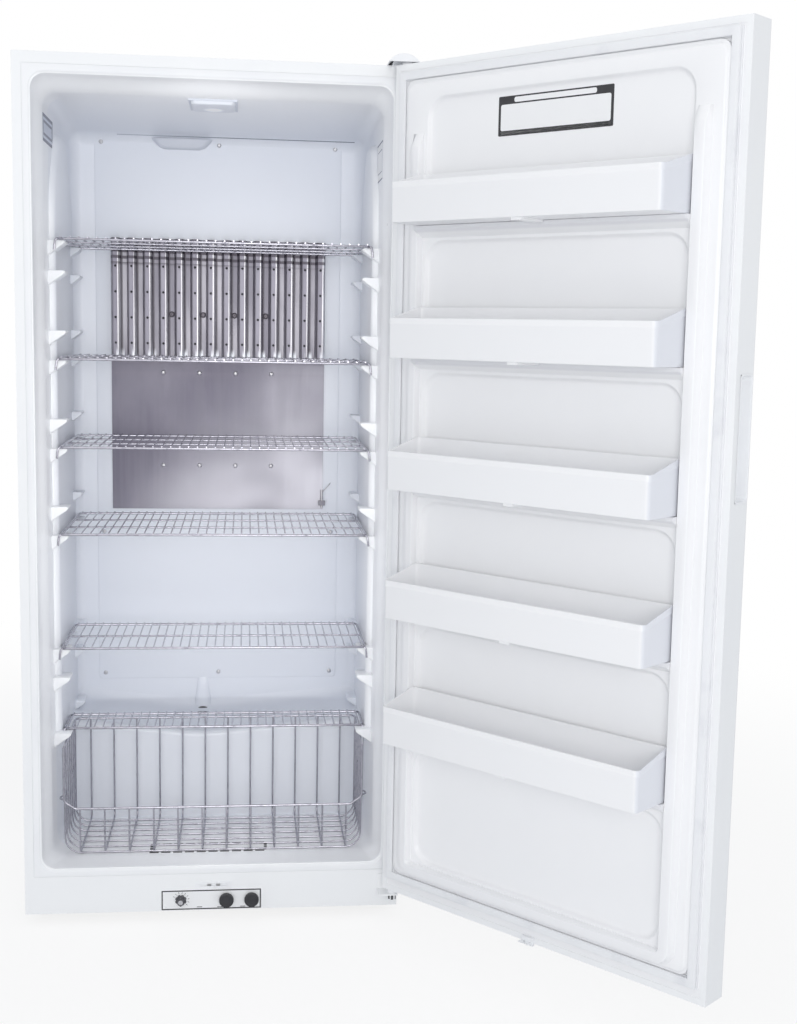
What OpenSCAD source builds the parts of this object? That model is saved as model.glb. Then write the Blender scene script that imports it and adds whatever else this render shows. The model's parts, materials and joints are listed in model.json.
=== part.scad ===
// Gas refrigerator with one door, shown with its door open.
// The floor is z = 0, and the origin lies under the plan centre of the cabinet.
// X runs to the right and Y to the back, as seen from the front.

/* [Cabinet] */
// Width of the cabinet and of the door
cab_w = 840; // [800:5:880]
// Height of the cabinet above its base frame
cab_h = 1883; // [1875:1:1920]
// Depth of the cabinet from its front face to its back panel
cab_d = 640; // [625:5:700]
// Thickness of the steel sheet
sheet = 1.2; // [0.8:0.1:1.6]
// Height of the base frame
base_h = 25; // [20:1:40]
// Distance of the base frame behind the cabinet's front
base_inset = 60; // [40:5:90]
// Width of the base frame's channel
base_bar = 40; // [30:2:60]
// Wall of the base frame's channel
base_wall = 3; // [2:0.5:4]
// Width of the steel flange round the front
flange_w = 20; // [16:1:24]
// Height of the front rail under the door opening
rail_h = 36.5; // [32:0.5:40]

/* [Interior] */
// Insulated wall at each side
side_wall = 53; // [48:1:60]
// Insulated wall at the top
top_wall = 72; // [66:1:80]
// Insulated wall at the back
back_wall = 95; // [85:1:110]
// Insulated wall under the floor
bottom_wall = 38; // [34:1:48]
// Height of the open space under the cabinet's floor pan
plenum_h = 67; // [66:1:72]
// Thickness of the plastic liner
liner_t = 3; // [2:0.5:4]
// Depth of the tapered throat behind the front
throat_d = 70; // [50:5:90]
// Widening of the throat at each side
throat_flare = 15; // [12:1:17]
// Radius of the liner's inner corners
liner_r = 30; // [24:1:34]
// Rise of the ceiling from its back edge
ceiling_drop = 21; // [12:1:28]
// Depth of the step in the floor at the back
step_d = 207; // [190:1:215]
// Height of the step at its sides
step_h = 255; // [240:1:262]
// Fall of the gutter from the sides of the step to the drain
gutter_fall = 35; // [20:1:45]
// Place of the drain to the side of the middle
drain_x = -40; // [-80:5:80]
// Diameter of the drain tube
drain_d = 20; // [16:1:26]
// Thickness of the raised panel on each side wall
pad_t = 8; // [5:1:10]

/* [Shelf supports] */
// Height of the lowest support's top above the interior's floor
ledge_low = 277; // [272:1:290]
// Spacing of the supports
ledge_pitch = 66; // [64:1:68]
// Number of supports in a column
ledge_n = 18; // [18:1:19]
// Levels of a column that carry no support
ledge_skip = [1, 4, 5, 6, 9, 12, 15];
// Reach of a support into the interior
ledge_out = 28; // [26:1:34]
// Length of a support from front to back
ledge_l = 58; // [40:2:70]

/* [Shelves] */
// Side clearance of a shelf at the interior's walls
shelf_gap = 17.5; // [14:0.5:19]
// Distance of the shelves behind the cabinet's front
shelf_back = 122; // [118:1:130]
// Gap between the full shelves and the back wall
shelf_rear = 35; // [33:1:60]
// Depth of the short shelf
short_d = 275; // [255:5:300]
// Depth of the narrow shelf above the basket
narrow_d = 125; // [110:5:150]
// Distance of the narrow shelf behind the cabinet's front
narrow_back = 158; // [140:2:170]
// Diameter of the frame rods
rod_d = 5.5; // [5:0.5:6.5]
// Diameter of the shelf wires
wire_d = 3.2; // [2.8:0.2:4]
// Spacing of the shelf wires
wire_pitch = 20; // [18:1:30]
// Support on which each shelf rests, counted from the lowest
shelf_levels = [17, 13, 10, 7, 3, 0];

/* [Basket] */
// Gap between the basket and each side wall
basket_side = 23; // [21:0.5:36]
// Gap between the basket and the step behind it
basket_rear = 10; // [8:1:30]
// Distance of the basket behind the cabinet's front
basket_back = 78; // [76:1:84]
// Height of the basket's back and sides
basket_h = 262; // [230:2:266]
// Height of the low front rim
basket_front_h = 112; // [90:2:130]
// Diameter of the basket's wires
basket_wire = 4; // [3.4:0.2:5]
// Number of wires that run from front to back
basket_long_n = 12; // [8:1:14]
// Number of wires that run across
basket_cross_n = 7; // [5:1:8]

/* [Evaporator] */
// Width of the evaporator plate
plate_w = 536; // [500:2:560]
// Height of the evaporator plate
plate_h = 680; // [640:5:690]
// Height of the plate's lower edge above the interior's floor
plate_low = 751; // [740:1:760]
// Thickness of the evaporator plate
plate_t = 3; // [2:0.5:4]
// Height of the fins
fin_h = 299; // [270:1:310]
// Reach of the fins in front of the plate
fin_out = 27; // [20:1:28]
// Number of fins
fin_n = 14; // [12:1:15]
// Thickness of the fin sheet
fin_t = 1.5; // [1:0.25:2]
// Diameter of the fin holes
fin_hole = 6; // [4:0.5:8]
// Side margin of the white back cover
cover_side = 61; // [50:1:70]

/* [Door] */
// Thickness of the door's insulated panel
door_t = 70; // [64:1:80]
// Gap between the closed door and the cabinet
door_gap = 12; // [11:0.5:13]
// Distance of the door's top under the cabinet's top
door_drop = 6; // [4:0.5:8]
// Distance of the door's lower edge above the lower front panel
door_lift = 6; // [4:0.5:8]
// Angle at which the door stands open
door_open = 131.5; // [110:0.5:132]
// Distance of the hinge axis from the door's side
hinge_in = 13.5; // [12.5:0.1:13.6]
// Distance of the hinge axis in front of the cabinet
hinge_out = 31; // [31:0.5:40]
// Distance of the gasket from the door's side
gasket_in = 18; // [16:0.5:22]
// Width of the steel lip round the door's inner face
lip_w = 13; // [10:1:14]
// Radius of the door's outer upright edges
door_r = 10; // [6:1:14]
// Thickness of the door liner
dliner_t = 2; // [1.5:0.25:3]
// Width of the gasket
gasket_w = 19; // [16:1:19]
// Height of the raised plateau on the door liner
plateau_h = 11.7; // [10:0.1:11.7]
// Height of the dikes beside the bins
dike_h = 29; // [24:1:34]
// Width of a dike's crest
dike_w = 24; // [18:1:26]
// Floor of the recessed panels behind the bins
panel_h = 2; // [1:0.5:4]
// Corner radius of the recessed panels
panel_r = 45; // [30:5:50]
// Diameter of the hinge pins
pin_d = 10; // [8:0.5:10]
// Radial clearance of a turning or sliding stem
running = 0.05; // [0.03:0.01:0.08]
// Height of the pocket handle
grip_h = 230; // [180:5:260]
// Width of the pocket handle
grip_w = 40; // [36:1:44]
// Depth of the pocket handle
grip_d = 30; // [24:1:36]
// Height of the pocket's middle above the floor
grip_z = 1161; // [1100:5:1250]

/* [Door bins] */
// From the side of the plateau to the end of a bin
bin_side = 55; // [53:1:70]
// Reach of a bin from the door's inner face
bin_out = 120; // [105:1:124]
// Height of a bin's front
bin_h = 82; // [70:1:95]
// Rise of a bin's end walls towards the door
bin_rise = 24; // [10:1:30]
// Wall of a bin
bin_t = 3; // [2:0.5:4]
// Height of the lowest bin above the floor
bin_low = 467; // [460:1:474]
// Spacing of the bins
bin_pitch = 274; // [270:0.5:276]
// Number of bins
bin_n = 5;
// Side clearance between a bin and the dikes
bin_gap = 1; // [0.6:0.2:2]

/* [Controls] */
// Height of the lower front panel
kick_h = 50; // [50:1:54]
// Width of the control plate
panel_w = 228; // [210:2:260]
// Thickness of the control plate
panel_t = 1.5; // [1:0.25:2.5]
// Place of the control plate's middle
panel_x = -5; // [-30:1:30]
// Diameter of the two push buttons
button_d = 33; // [28:1:36]
// Travel of the push buttons
button_travel = 4; // [3:0.5:5]
// Thickness of a push button's head
button_t = 8; // [6:0.5:10]
// Diameter of the thermostat knob
knob_d = 26; // [22:1:32]
// Reach of the thermostat knob
knob_out = 16; // [12:1:20]
// Diameter of the stems
stem_d = 8; // [6:0.5:9]

/* [Cooling unit] */
// Diameter of the boiler's insulated case
boiler_d = 130; // [110:5:150]
// Height of the boiler's case
boiler_h = 450; // [400:10:500]
// Diameter of the flue
flue_d = 50; // [40:1:56]
// Diameter of the cooling pipes
pipe_d = 16; // [12:1:20]
// Diameter of the absorber tank
tank_d = 80; // [70:2:90]
// Diameter of the gas tube
gas_d = 10; // [8:0.5:12]
// Radius of the gas inlet's thread
inlet_r = 7.94; // [6.3:0.02:9.6]
// Length of the gas inlet's thread
inlet_l = 16; // [12:1:20]
// Length in which the gas tube leaves its fittings
gas_run = 40; // [34:1:46]
// Distance behind the front at which the spark lead crosses
lead_run = 180; // [170:5:220]

/* [Drip tray] */
// Width of the drip tray
tray_w = 240; // [200:5:260]
// Height of the drip tray
tray_h = 70; // [50:2:80]
// Drop from the top of the recess to the tray's rim
tray_drop = 80; // [70:2:95]
// Distance of the tray from the back of the case
tray_rear = 70; // [55:5:90]
// Wall thickness of the tray
tray_t = 2; // [1.5:0.25:3]

/* [Hidden] */
$fn = 48;

// Small gap of a loose seat, and the overhang of a cutting body
seat = 0.3;
cut = 1;

// Cabinet
cab_x = cab_w / 2;
cab_top = base_h + cab_h;
in_x = cab_x - side_wall;
pan_z = base_h + plenum_h;
floor_z = pan_z + bottom_wall;
ceil_z = cab_top - top_wall;
ceil_back = ceil_z - ceiling_drop;
back_y = cab_d - back_wall;
throat_x = in_x + throat_flare;
throat_top = ceil_z + 28;
frame_t = 3;
liner_flange_t = 2.5;
rail_z = base_h + kick_h;
open_z0 = rail_z + rail_h;
open_z1 = cab_top - flange_w - 4;
open_x = cab_x - flange_w;
step_y = back_y - step_d;
step_z = floor_z + step_h;
recess_y = step_y + 62;
recess_z = step_z - gutter_fall - 60;
drain_y = back_y - 45;
pad_y0 = 150;
pad_y1 = back_y - 65;

// Shelves
ledge_z = [for (i = [0:ledge_n - 1]) floor_z + ledge_low + i * ledge_pitch];
ledge_y = [shelf_back + 6, back_y - 65 - ledge_l];
shelf_x = in_x - shelf_gap;
shelf_d = back_y - shelf_back - shelf_rear;
basket_w = 2 * (in_x - basket_side);
basket_d = step_y - basket_back - basket_rear;

// Evaporator, and the height of the condenser that feeds it
cond_z = cab_top - 268;
cover_t = 2;
cover_y = back_y - cover_t;
plate_y = cover_y - plate_t;
plate_z = floor_z + plate_low;
fin_z = plate_z + plate_h - fin_h;
fin_y = plate_y - fin_out;
fin_row = fin_h * 0.2117;
screw_d = 11;
cover_screw_d = 9;
fin_crest = 7;
fin_slope = 6;
fin_pitch = (plate_w - 2 * (fin_crest + fin_slope)) / (fin_n - 1);
pipe_in = [-in_x * 0.41, cond_z - 190];
pipe_out = [-in_x * 0.66, cond_z - 310];
bulb_x = plate_w / 2 - 3;
bulb_z = plate_z + 11;
capillary_x = plate_w / 2 + 19;
capillary_z = plate_z + 68;
capillary_d = 2.4;

// Door, in its closed place
door_y1 = -door_gap;
door_y0 = door_y1 - door_t;
door_z0 = rail_z + door_lift;
door_z1 = cab_top - door_drop;
hinge_x = cab_x - hinge_in;
hinge_y = -hinge_out;
lip_z0 = door_z0 + lip_w;
lip_z1 = door_z1 - lip_w;
gasket_x = cab_x - gasket_in;
gasket_z0 = open_z0 + 1;
gasket_z1 = open_z1 + 1;
plateau_x = gasket_x - gasket_w - 3;
plateau_z0 = gasket_z0 + gasket_w + 4;
plateau_z1 = gasket_z1 - gasket_w - 6;
bin_w = 2 * (plateau_x - bin_side);
dike_x = bin_w / 2 + bin_gap;
dike_z0 = plateau_z0 + 13;
dike_z1 = bin_low + (bin_n - 1) * bin_pitch + 191;
bin_z = [for (i = [0:bin_n - 1]) bin_low + (bin_n - 1 - i) * bin_pitch];
rib_out = 40;
rib_h = 24;
grip_y = door_y1 - 38;
cup_t = 2;
bush_t = 3.5;
bush_d = pin_d + 2 * bush_t;
hinge_plate = 3;
hinge_z = door_z0 - 16;

// Controls
control_z = base_h + kick_h / 2;
panel_h2 = kick_h - 1;
knob_x = panel_x - 69;
gas_x = panel_x + 34;
spark_x = panel_x + 91;
flange_a = 40;
flange_b = 3;
thermo_d = 50;
valve_d = 30;
valve_l = 60;
spark_d = 22;
spark_l = 52;
stem_in = 24;
button_y = -panel_t - button_travel - 1;

// Cooling unit
bar_t = 12;
unit_y = cab_d + bar_t + seat;
boiler_x = 200;
boiler_y = unit_y + boiler_d / 2;
boiler_z = base_h + 125;
tank_y = unit_y + tank_d / 2;
tank_z = boiler_z + 50;
tank_x = [-290, 90];
coil_x = [-250, 50];
coil_n = 5;
coil_rise = 100;
coil_z = tank_z + tank_d / 2 + 60;
coil_top = coil_z + (coil_n - 1) * coil_rise;
pipe_side = 2 * pipe_d + 3;
upright_x = 330;
cond_x = [-270, 125];
cond_h = 90;
cond_fins = 26;
riser_x = boiler_x - flue_d / 2 - 18;
riser_d = 22;
line_z = base_h + 33;

// Moves a piece whose y is counted from the cabinet's front face
module front() {
  translate([0, -cab_d / 2, 0]) children();
}

// Turns a piece of the closed door to its open place
module on_door() {
  front() translate([hinge_x, hinge_y, 0]) rotate([0, 0, door_open])
    translate([-hinge_x, -hinge_y, 0]) children();
}

module slab(x, y, z) {
  translate([x[0], y[0], z[0]]) cube([x[1] - x[0], y[1] - y[0], z[1] - z[0]]);
}

// Outline in Y and Z, run along X
module along_x(points, x) {
  translate([x[0], 0, 0]) rotate([90, 0, 90]) linear_extrude(x[1] - x[0]) polygon(points);
}

// Outline in X and Z, run along Y
module along_y(points, y) {
  translate([0, y[1], 0]) rotate([90, 0, 0]) linear_extrude(y[1] - y[0]) polygon(points);
}

// Rectangle with round corners
module round_rect(x, y, r) {
  translate([x[0] + r, y[0]]) square([x[1] - x[0] - 2 * r, y[1] - y[0]]);
  translate([x[0], y[0] + r]) square([x[1] - x[0], y[1] - y[0] - 2 * r]);
  for (px = [x[0] + r, x[1] - r]) for (py = [y[0] + r, y[1] - r]) translate([px, py]) circle(r);
}

// Block with round edges along Y
module round_slab(x, y, z, r) {
  translate([0, y[1], 0]) rotate([90, 0, 0]) linear_extrude(y[1] - y[0]) round_rect(x, z, r);
}

module bore_y(x, z, d, y) {
  translate([x, y[0], z]) rotate([-90, 0, 0]) cylinder(d = d, h = y[1] - y[0]);
}

// Straight rod from a to b
module rod(a, b, d) {
  l = norm(b - a);
  translate(a) rotate([0, acos((b[2] - a[2]) / l), atan2(b[1] - a[1], b[0] - a[0])])
    cylinder(d = d, h = l);
}

// Bent tube through a list of points
module pipe(points, d) {
  for (i = [0:len(points) - 2]) rod(points[i], points[i + 1], d);
  for (i = [1:1:len(points) - 2]) translate(points[i]) sphere(d = d + 0.3);
}

// Height of the step's top at a place across the cabinet
function gutter(x) = step_z - gutter_fall
  + gutter_fall * abs(x - drain_x) / (x < drain_x ? in_x + drain_x : in_x - drain_x);

// Step under the back of the interior, its faces drawn back by g
module step_block(g) {
  along_y([
    [-cab_x, 0], [cab_x, 0], [cab_x, gutter(in_x) - g], [in_x, gutter(in_x) - g],
    [drain_x, gutter(drain_x) - g], [-in_x, gutter(-in_x) - g], [-cab_x, gutter(-in_x) - g]
  ], [step_y + g, cab_d]);
}

// Space inside the liner, grown by g
module cavity(g) {
  difference() {
    intersection() {
      union() {
        round_slab([-in_x - g, in_x + g], [throat_d, cab_d], [floor_z - g, ceil_z + g], liner_r);
        round_slab([-throat_x - g, throat_x + g], [0, throat_d], [floor_z - g, throat_top + g], liner_r);
      }
      along_x([
        [0, floor_z - g], [back_y + g, floor_z - g], [back_y + g, ceil_back + g],
        [throat_d + 180, ceil_z + g], [throat_d, ceil_z + g], [0, throat_top + g]
      ], [-cab_x, cab_x]);
      linear_extrude(cab_top) union() {
        polygon([
          [-throat_x - g, 0], [throat_x + g, 0], [in_x + g, throat_d], [in_x + g, back_y + g - liner_r],
          [-in_x - g, back_y + g - liner_r], [-in_x - g, throat_d]
        ]);
        round_rect([-in_x - g, in_x + g], [throat_d, back_y + g], liner_r);
      }
    }
    step_block(g);
  }
}

module outer_shell() color("white") front() {
  difference() {
    slab([-cab_x, cab_x], [0, cab_d], [base_h, cab_top]);
    slab([-cab_x + sheet, cab_x - sheet], [sheet, cab_d + cut], [base_h - cut, cab_top - sheet]);
    slab([-open_x, open_x], [-cut, sheet + cut], [open_z0, open_z1]);
    slab([-cab_x - cut, cab_x + cut], [-cut, sheet], [base_h - cut, rail_z]);
    slab([-34, 34], [-cut, sheet + cut], [rail_z + 5, rail_z + 14]);
  }
  for (s = [-1, 1]) translate([s * (cab_x - 17 - sheet / 2), (cab_d + sheet) / 2, base_h + sheet / 2])
    cube([34 - sheet, cab_d - sheet, sheet], center = true);
}

module base_frame() color("dimgray") front() difference() {
  slab([-cab_x + 20, cab_x - 20], [base_inset, cab_d - 20], [0, base_h]);
  slab([-cab_x + 20 + base_bar, cab_x - 20 - base_bar],
    [base_inset + base_bar, cab_d - 20 - base_bar], [-cut, base_h + cut]);
  slab([-cab_x + 20 + base_wall, cab_x - 20 - base_wall],
    [base_inset + base_wall, cab_d - 20 - base_wall], [base_wall, base_h - base_wall]);
}

// Floor pan of the insulated box, folded up and back over the recess behind it
module bottom_pan() color("silver") front() difference() {
  along_x([
    [sheet, pan_z], [recess_y + sheet, pan_z], [recess_y + sheet, recess_z], [cab_d, recess_z],
    [cab_d, recess_z + sheet], [recess_y, recess_z + sheet], [recess_y, pan_z + sheet],
    [sheet, pan_z + sheet]
  ], [-cab_x + sheet, cab_x - sheet]);
  translate([drain_x, drain_y, recess_z - cut]) cylinder(d = drain_d + 0.2, h = sheet + 2 * cut);
}

module wall_holes(d, y) {
  bore_y(pipe_in[0], pipe_in[1], d, y);
  bore_y(pipe_out[0], pipe_out[1], d, y);
  bore_y(capillary_x, capillary_z, capillary_d + 2, y);
}

module back_panel() color("silver") front() difference() {
  slab([-cab_x + sheet, cab_x - sheet], [cab_d - sheet, cab_d], [recess_z + sheet, cab_top - sheet]);
  wall_holes(pipe_d + 1, [cab_d - sheet - cut, cab_d + cut]);
}

module foam_body() color("khaki") front() difference() {
  slab([-cab_x + sheet, cab_x - sheet], [frame_t + liner_flange_t, cab_d - sheet],
    [pan_z + sheet, cab_top - sheet]);
  slab([-cab_x, cab_x], [recess_y, cab_d + cut], [0, recess_z + sheet]);
  cavity(liner_t);
  wall_holes(pipe_d + 1, [back_y - cut, cab_d + cut]);
  translate([drain_x, drain_y, 0]) cylinder(d = drain_d + 1, h = step_z);
}

// One column of shelf supports on the right wall
module ledges(y) {
  for (i = [0:ledge_n - 1]) if (len([for (s = ledge_skip) if (s == i) s]) == 0) along_y([
    [in_x + liner_t / 2, ledge_z[i]], [in_x - ledge_out, ledge_z[i]],
    [in_x - ledge_out, ledge_z[i] - 8], [in_x + liner_t / 2, ledge_z[i] - 34]
  ], [y, y + ledge_l]);
}

// Raised panel on the right wall, with its shoulders and neck
module side_pad() {
  along_x([
    [pad_y0, step_z - liner_t / 2], [pad_y1, step_z - liner_t / 2],
    [pad_y1, ceil_z - 230], [pad_y1 - 30, ceil_z - 160], [pad_y1 - 80, ceil_z - 110],
    [pad_y1 - 100, ceil_z - 60], [pad_y0 + 90, ceil_z - 60],
    [pad_y0 + 70, ceil_z - 110], [pad_y0 + 25, ceil_z - 160], [pad_y0, ceil_z - 230]
  ], [in_x - pad_t, in_x + liner_t / 2]);
}

module liner() color("aliceblue") front() {
  difference() {
    cavity(liner_t);
    cavity(0);
    wall_holes(pipe_d + 1, [back_y - cut, back_y + liner_t + cut]);
    translate([drain_x, drain_y, step_z - gutter_fall - 40]) cylinder(d = drain_d + 0.2, h = 60);
  }
  difference() {
    slab([-open_x - 4, open_x + 4], [frame_t, frame_t + liner_flange_t], [open_z0 - 4, open_z1 + 4]);
    cavity(liner_t / 2);
  }
  for (s = [0, 1]) mirror([s, 0, 0]) {
    side_pad();
    for (y = ledge_y) difference() {
      ledges(y);
      step_block(liner_t / 2);
    }
  }
}

module throat_frame() color("white") front() difference() {
  union() {
    slab([-open_x, open_x], [0, frame_t], [open_z0, open_z1]);
    slab([-open_x - 8, open_x + 8], [sheet, frame_t], [open_z0 - 8, open_z1 + 8]);
  }
  round_slab([-throat_x - liner_t, throat_x + liner_t], [-cut, frame_t + cut],
    [floor_z - liner_t, throat_top + liner_t], liner_r);
}

module back_cover() color("white") front() difference() {
  slab([-in_x + cover_side, in_x - cover_side], [cover_y, back_y], [step_z + 49, ceil_back - 3]);
  wall_holes(pipe_d + 1, [cover_y - cut, back_y + cut]);
}

module screw_head(x, z, y, d) {
  translate([x, y, z]) rotate([90, 0, 0]) cylinder(d1 = d, d2 = d * 0.7, h = d * 0.3, $fn = 24);
}

module interior_screws() color("silver") front() {
  cover_x = in_x - cover_side - 16;
  valley = fin_n % 2 / 2;
  bare_h = plate_h - fin_h;
  for (k = [-1.5:1.5]) for (z = [bare_h * 0.294, bare_h * 0.913])
    screw_head((k * 0.17 - 0.006) * plate_w, plate_z + z, plate_y, screw_d);
  for (k = [-3:2:3])
    screw_head((k - valley) * fin_pitch, fin_z + fin_h * 0.378, plate_y - fin_t, screw_d);
  for (x = [-cover_x, 0, cover_x]) for (z = [step_z + 65, ceil_back - 20])
    screw_head(x, z, cover_y, cover_screw_d);
  for (x = [-cover_x, cover_x]) screw_head(x, plate_z - 60, cover_y, cover_screw_d);
}

module evaporator_plate() color("darkgray") front()
  slab([-plate_w / 2, plate_w / 2], [plate_y, cover_y], [plate_z, plate_z + plate_h]);

// Folded aluminium sheet: flat crests with holes, and valleys that lie on the plate
module evaporator_fins() color("gray") front() {
  valley_y = plate_y - fin_t;
  foot = fin_crest + fin_slope;
  middles = [for (i = [0:fin_n - 1]) (i - (fin_n - 1) / 2) * fin_pitch];
  fold = [for (m = middles) each [
    [m - foot, valley_y], [m - fin_crest, fin_y], [m + fin_crest, fin_y], [m + foot, valley_y]
  ]];
  n = len(fold);
  difference() {
    translate([0, 0, fin_z]) linear_extrude(fin_h)
      polygon(concat(fold, [for (i = [n - 1:-1:0]) fold[i] + [0, fin_t]]));
    for (m = middles) for (k = [0:3])
      bore_y(m, fin_z + fin_h * 0.134 + k * fin_row, fin_hole, [fin_y - cut, fin_y + 5]);
  }
}

module evaporator_pipes() color("slategray") front() {
  pipe([
    [cond_x[0], boiler_y, cond_z], [cond_x[0] - pipe_side, boiler_y, cond_z],
    [cond_x[0] - pipe_side, boiler_y, pipe_in[1]], [pipe_in[0], boiler_y, pipe_in[1]],
    [pipe_in[0], cover_y, pipe_in[1]]
  ], pipe_d);
  pipe([
    [pipe_out[0], cover_y, pipe_out[1]], [pipe_out[0], tank_y, pipe_out[1]],
    [pipe_out[0], tank_y, coil_top + coil_rise * 0.8],
    [coil_x[1], tank_y, coil_top + coil_rise * 0.8],
    [coil_x[1], tank_y, coil_top + pipe_d / 2]
  ], pipe_d);
}

// Thin sensing tube from the bulb at the plate, out through the back and round to the thermostat
module capillary() color("peru") front() {
  pipe([
    [bulb_x, cover_y - plate_t - 4, bulb_z + 10], [bulb_x, cover_y - plate_t - 4, capillary_z - 25],
    [capillary_x, cover_y - 12, capillary_z], [capillary_x, cab_d + 15, capillary_z],
    [capillary_x, cab_d + 15, line_z - 13], [capillary_x, 120, line_z - 13],
    [knob_x + 12, 120, line_z - 13], [knob_x + 12, sheet + flange_b + thermo_d, control_z - 6]
  ], capillary_d);
  translate([bulb_x, plate_y - 4, bulb_z - 6]) cylinder(d = 7, h = 46);
}

module bulb_clip() color("silver") front() difference() {
  slab([bulb_x - 9, bulb_x + 9], [plate_y - 9, plate_y], [bulb_z, bulb_z + 12]);
  translate([bulb_x, plate_y - 4, bulb_z - cut]) cylinder(d = 7.1, h = 12 + 2 * cut);
}

module drain_tube() color("dimgray") front() difference() {
  z0 = recess_z - 60;
  translate([drain_x, drain_y, z0]) cylinder(d = drain_d, h = step_z - gutter_fall - z0);
  translate([drain_x, drain_y, z0 - cut]) cylinder(d = drain_d - 4, h = step_z);
}

module drip_tray() color("dimgray") front() difference() {
  z1 = recess_z - tray_drop;
  slab([drain_x - tray_w / 2, drain_x + tray_w / 2], [recess_y + sheet, cab_d - tray_rear],
    [z1 - tray_h, z1]);
  slab([drain_x - tray_w / 2 + tray_t, drain_x + tray_w / 2 - tray_t],
    [recess_y + sheet + tray_t, cab_d - tray_rear - tray_t], [z1 - tray_h + tray_t, z1 + cut]);
}

module lamp_base() color("white") front()
  slab([-58, 48], [throat_d + 10, throat_d + 160], [ceil_z - 4, ceil_z]);

module lamp_lens() color([0.9, 0.95, 1, 0.7]) front() difference() {
  slab([-54, 44], [throat_d + 14, throat_d + 156], [ceil_z - 18, ceil_z - 4]);
  slab([-52, 42], [throat_d + 16, throat_d + 154], [ceil_z - 16, ceil_z - 4 + cut]);
}

module kick_panel() color("white") front() {
  difference() {
    slab([-cab_x, cab_x], [0, sheet], [base_h, rail_z]);
    bore_y(knob_x, control_z, stem_d + 4, [-cut, sheet + cut]);
    for (x = [gas_x, spark_x]) bore_y(x, control_z, stem_d + 4, [-cut, sheet + cut]);
  }
  slab([-cab_x + 40, cab_x - 40], [0, base_inset + 15], [base_h, base_h + sheet]);
}

module control_plate() color("whitesmoke") front() difference() {
  slab([panel_x - panel_w / 2, panel_x + panel_w / 2], [-panel_t, 0],
    [control_z - panel_h2 / 2, control_z + panel_h2 / 2]);
  for (x = [knob_x, gas_x, spark_x]) bore_y(x, control_z, stem_d + 4, [-panel_t - cut, cut]);
}

// Square flange behind the lower panel, with a bore for a stem
module stem_seat(x, back) {
  difference() {
    union() {
      slab([x - flange_a / 2, x + flange_a / 2], [sheet, sheet + flange_b],
        [control_z - flange_a / 2, control_z + flange_a / 2]);
      translate([0, sheet, 0]) children();
    }
    bore_y(x, control_z, stem_d + 2 * running, [sheet - cut, sheet + back]);
  }
}

module thermostat_body() color("silver") front() stem_seat(knob_x, stem_in + 4)
  slab([knob_x - 22, knob_x + 22], [0, flange_b + thermo_d], [control_z - 18, control_z + 18]);

module gas_valve() color("goldenrod") front() {
  stem_seat(gas_x, stem_in + button_travel + 4)
    bore_y(gas_x, control_z, valve_d, [0, flange_b + valve_l]);
  nose_y = sheet + flange_b + valve_l;
  bore_y(gas_x, control_z, valve_d * 0.6, [nose_y - cut, nose_y + 14]);
}

module piezo_igniter() color("black") front() stem_seat(spark_x, stem_in + button_travel + 4)
  bore_y(spark_x, control_z, spark_d, [0, flange_b + spark_l]);

// Stem of a knob or button, from its head back into its seat
module stem(x, y0) {
  bore_y(x, control_z, stem_d, [y0, sheet + stem_in]);
}

module thermostat_knob() color("dimgray") front() {
  head_y = -panel_t - 0.6;
  bore_y(knob_x, control_z, knob_d, [head_y - knob_out * 0.4, head_y]);
  slab([knob_x - knob_d * 0.14, knob_x + knob_d * 0.14], [head_y - knob_out, head_y - knob_out * 0.3],
    [control_z - knob_d * 0.42, control_z + knob_d * 0.42]);
  stem(knob_x, head_y - 1);
}

module push_button(x) {
  bore_y(x, control_z, button_d, [button_y - button_t, button_y]);
  stem(x, button_y - 1);
}

module gas_button() color("black") front() push_button(gas_x);

module igniter_button() color("black") front() push_button(spark_x);

module gas_line() color("peru") front() {
  valve_y = sheet + flange_b + valve_l + 14;
  thermo_y = sheet + flange_b + thermo_d;
  pipe([
    [upright_x, cab_d - 8, line_z], [upright_x, valve_y + gas_run, line_z],
    [gas_x, valve_y + gas_run, line_z], [gas_x, valve_y + gas_run / 2, control_z],
    [gas_x, valve_y, control_z]
  ], gas_d);
  pipe([[gas_x - valve_d / 2, thermo_y - 12, control_z], [knob_x + 22, thermo_y - 12, control_z]], gas_d);
  pipe([
    [knob_x - 10, thermo_y, control_z], [knob_x - 10, thermo_y + gas_run / 2, control_z],
    [knob_x - 10, thermo_y + gas_run * 2.5, line_z], [boiler_x, thermo_y + gas_run * 2.5, line_z],
    [boiler_x, boiler_y, line_z], [boiler_x, boiler_y, boiler_z - 60]
  ], gas_d);
}

// Flare fitting for the gas supply, with its nut behind the upright
module gas_inlet() color("goldenrod") front() difference() {
  union() {
    bore_y(upright_x, line_z, 17.8, [cab_d - 8, cab_d + bar_t]);
    translate([upright_x, cab_d + bar_t, line_z]) rotate([-90, 0, 0]) cylinder(d = 28, h = 7, $fn = 6);
    bore_y(upright_x, line_z, 2 * inlet_r, [cab_d + bar_t, cab_d + bar_t + 7 + inlet_l]);
  }
  bore_y(upright_x, line_z, 7, [cab_d + cut, cab_d + bar_t + 8 + inlet_l]);
}

module top_hinge() color("silver") front() {
  slab([hinge_x - 30, cab_x - 2], [hinge_y - 12, 60], [cab_top, cab_top + hinge_plate]);
  translate([hinge_x, hinge_y, door_z1 - 22]) cylinder(d = pin_d, h = cab_top - door_z1 + 22);
  for (y = [22, 46]) translate([hinge_x - 8, y, cab_top + hinge_plate]) cylinder(d = 12, h = 5, $fn = 6);
}

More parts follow.
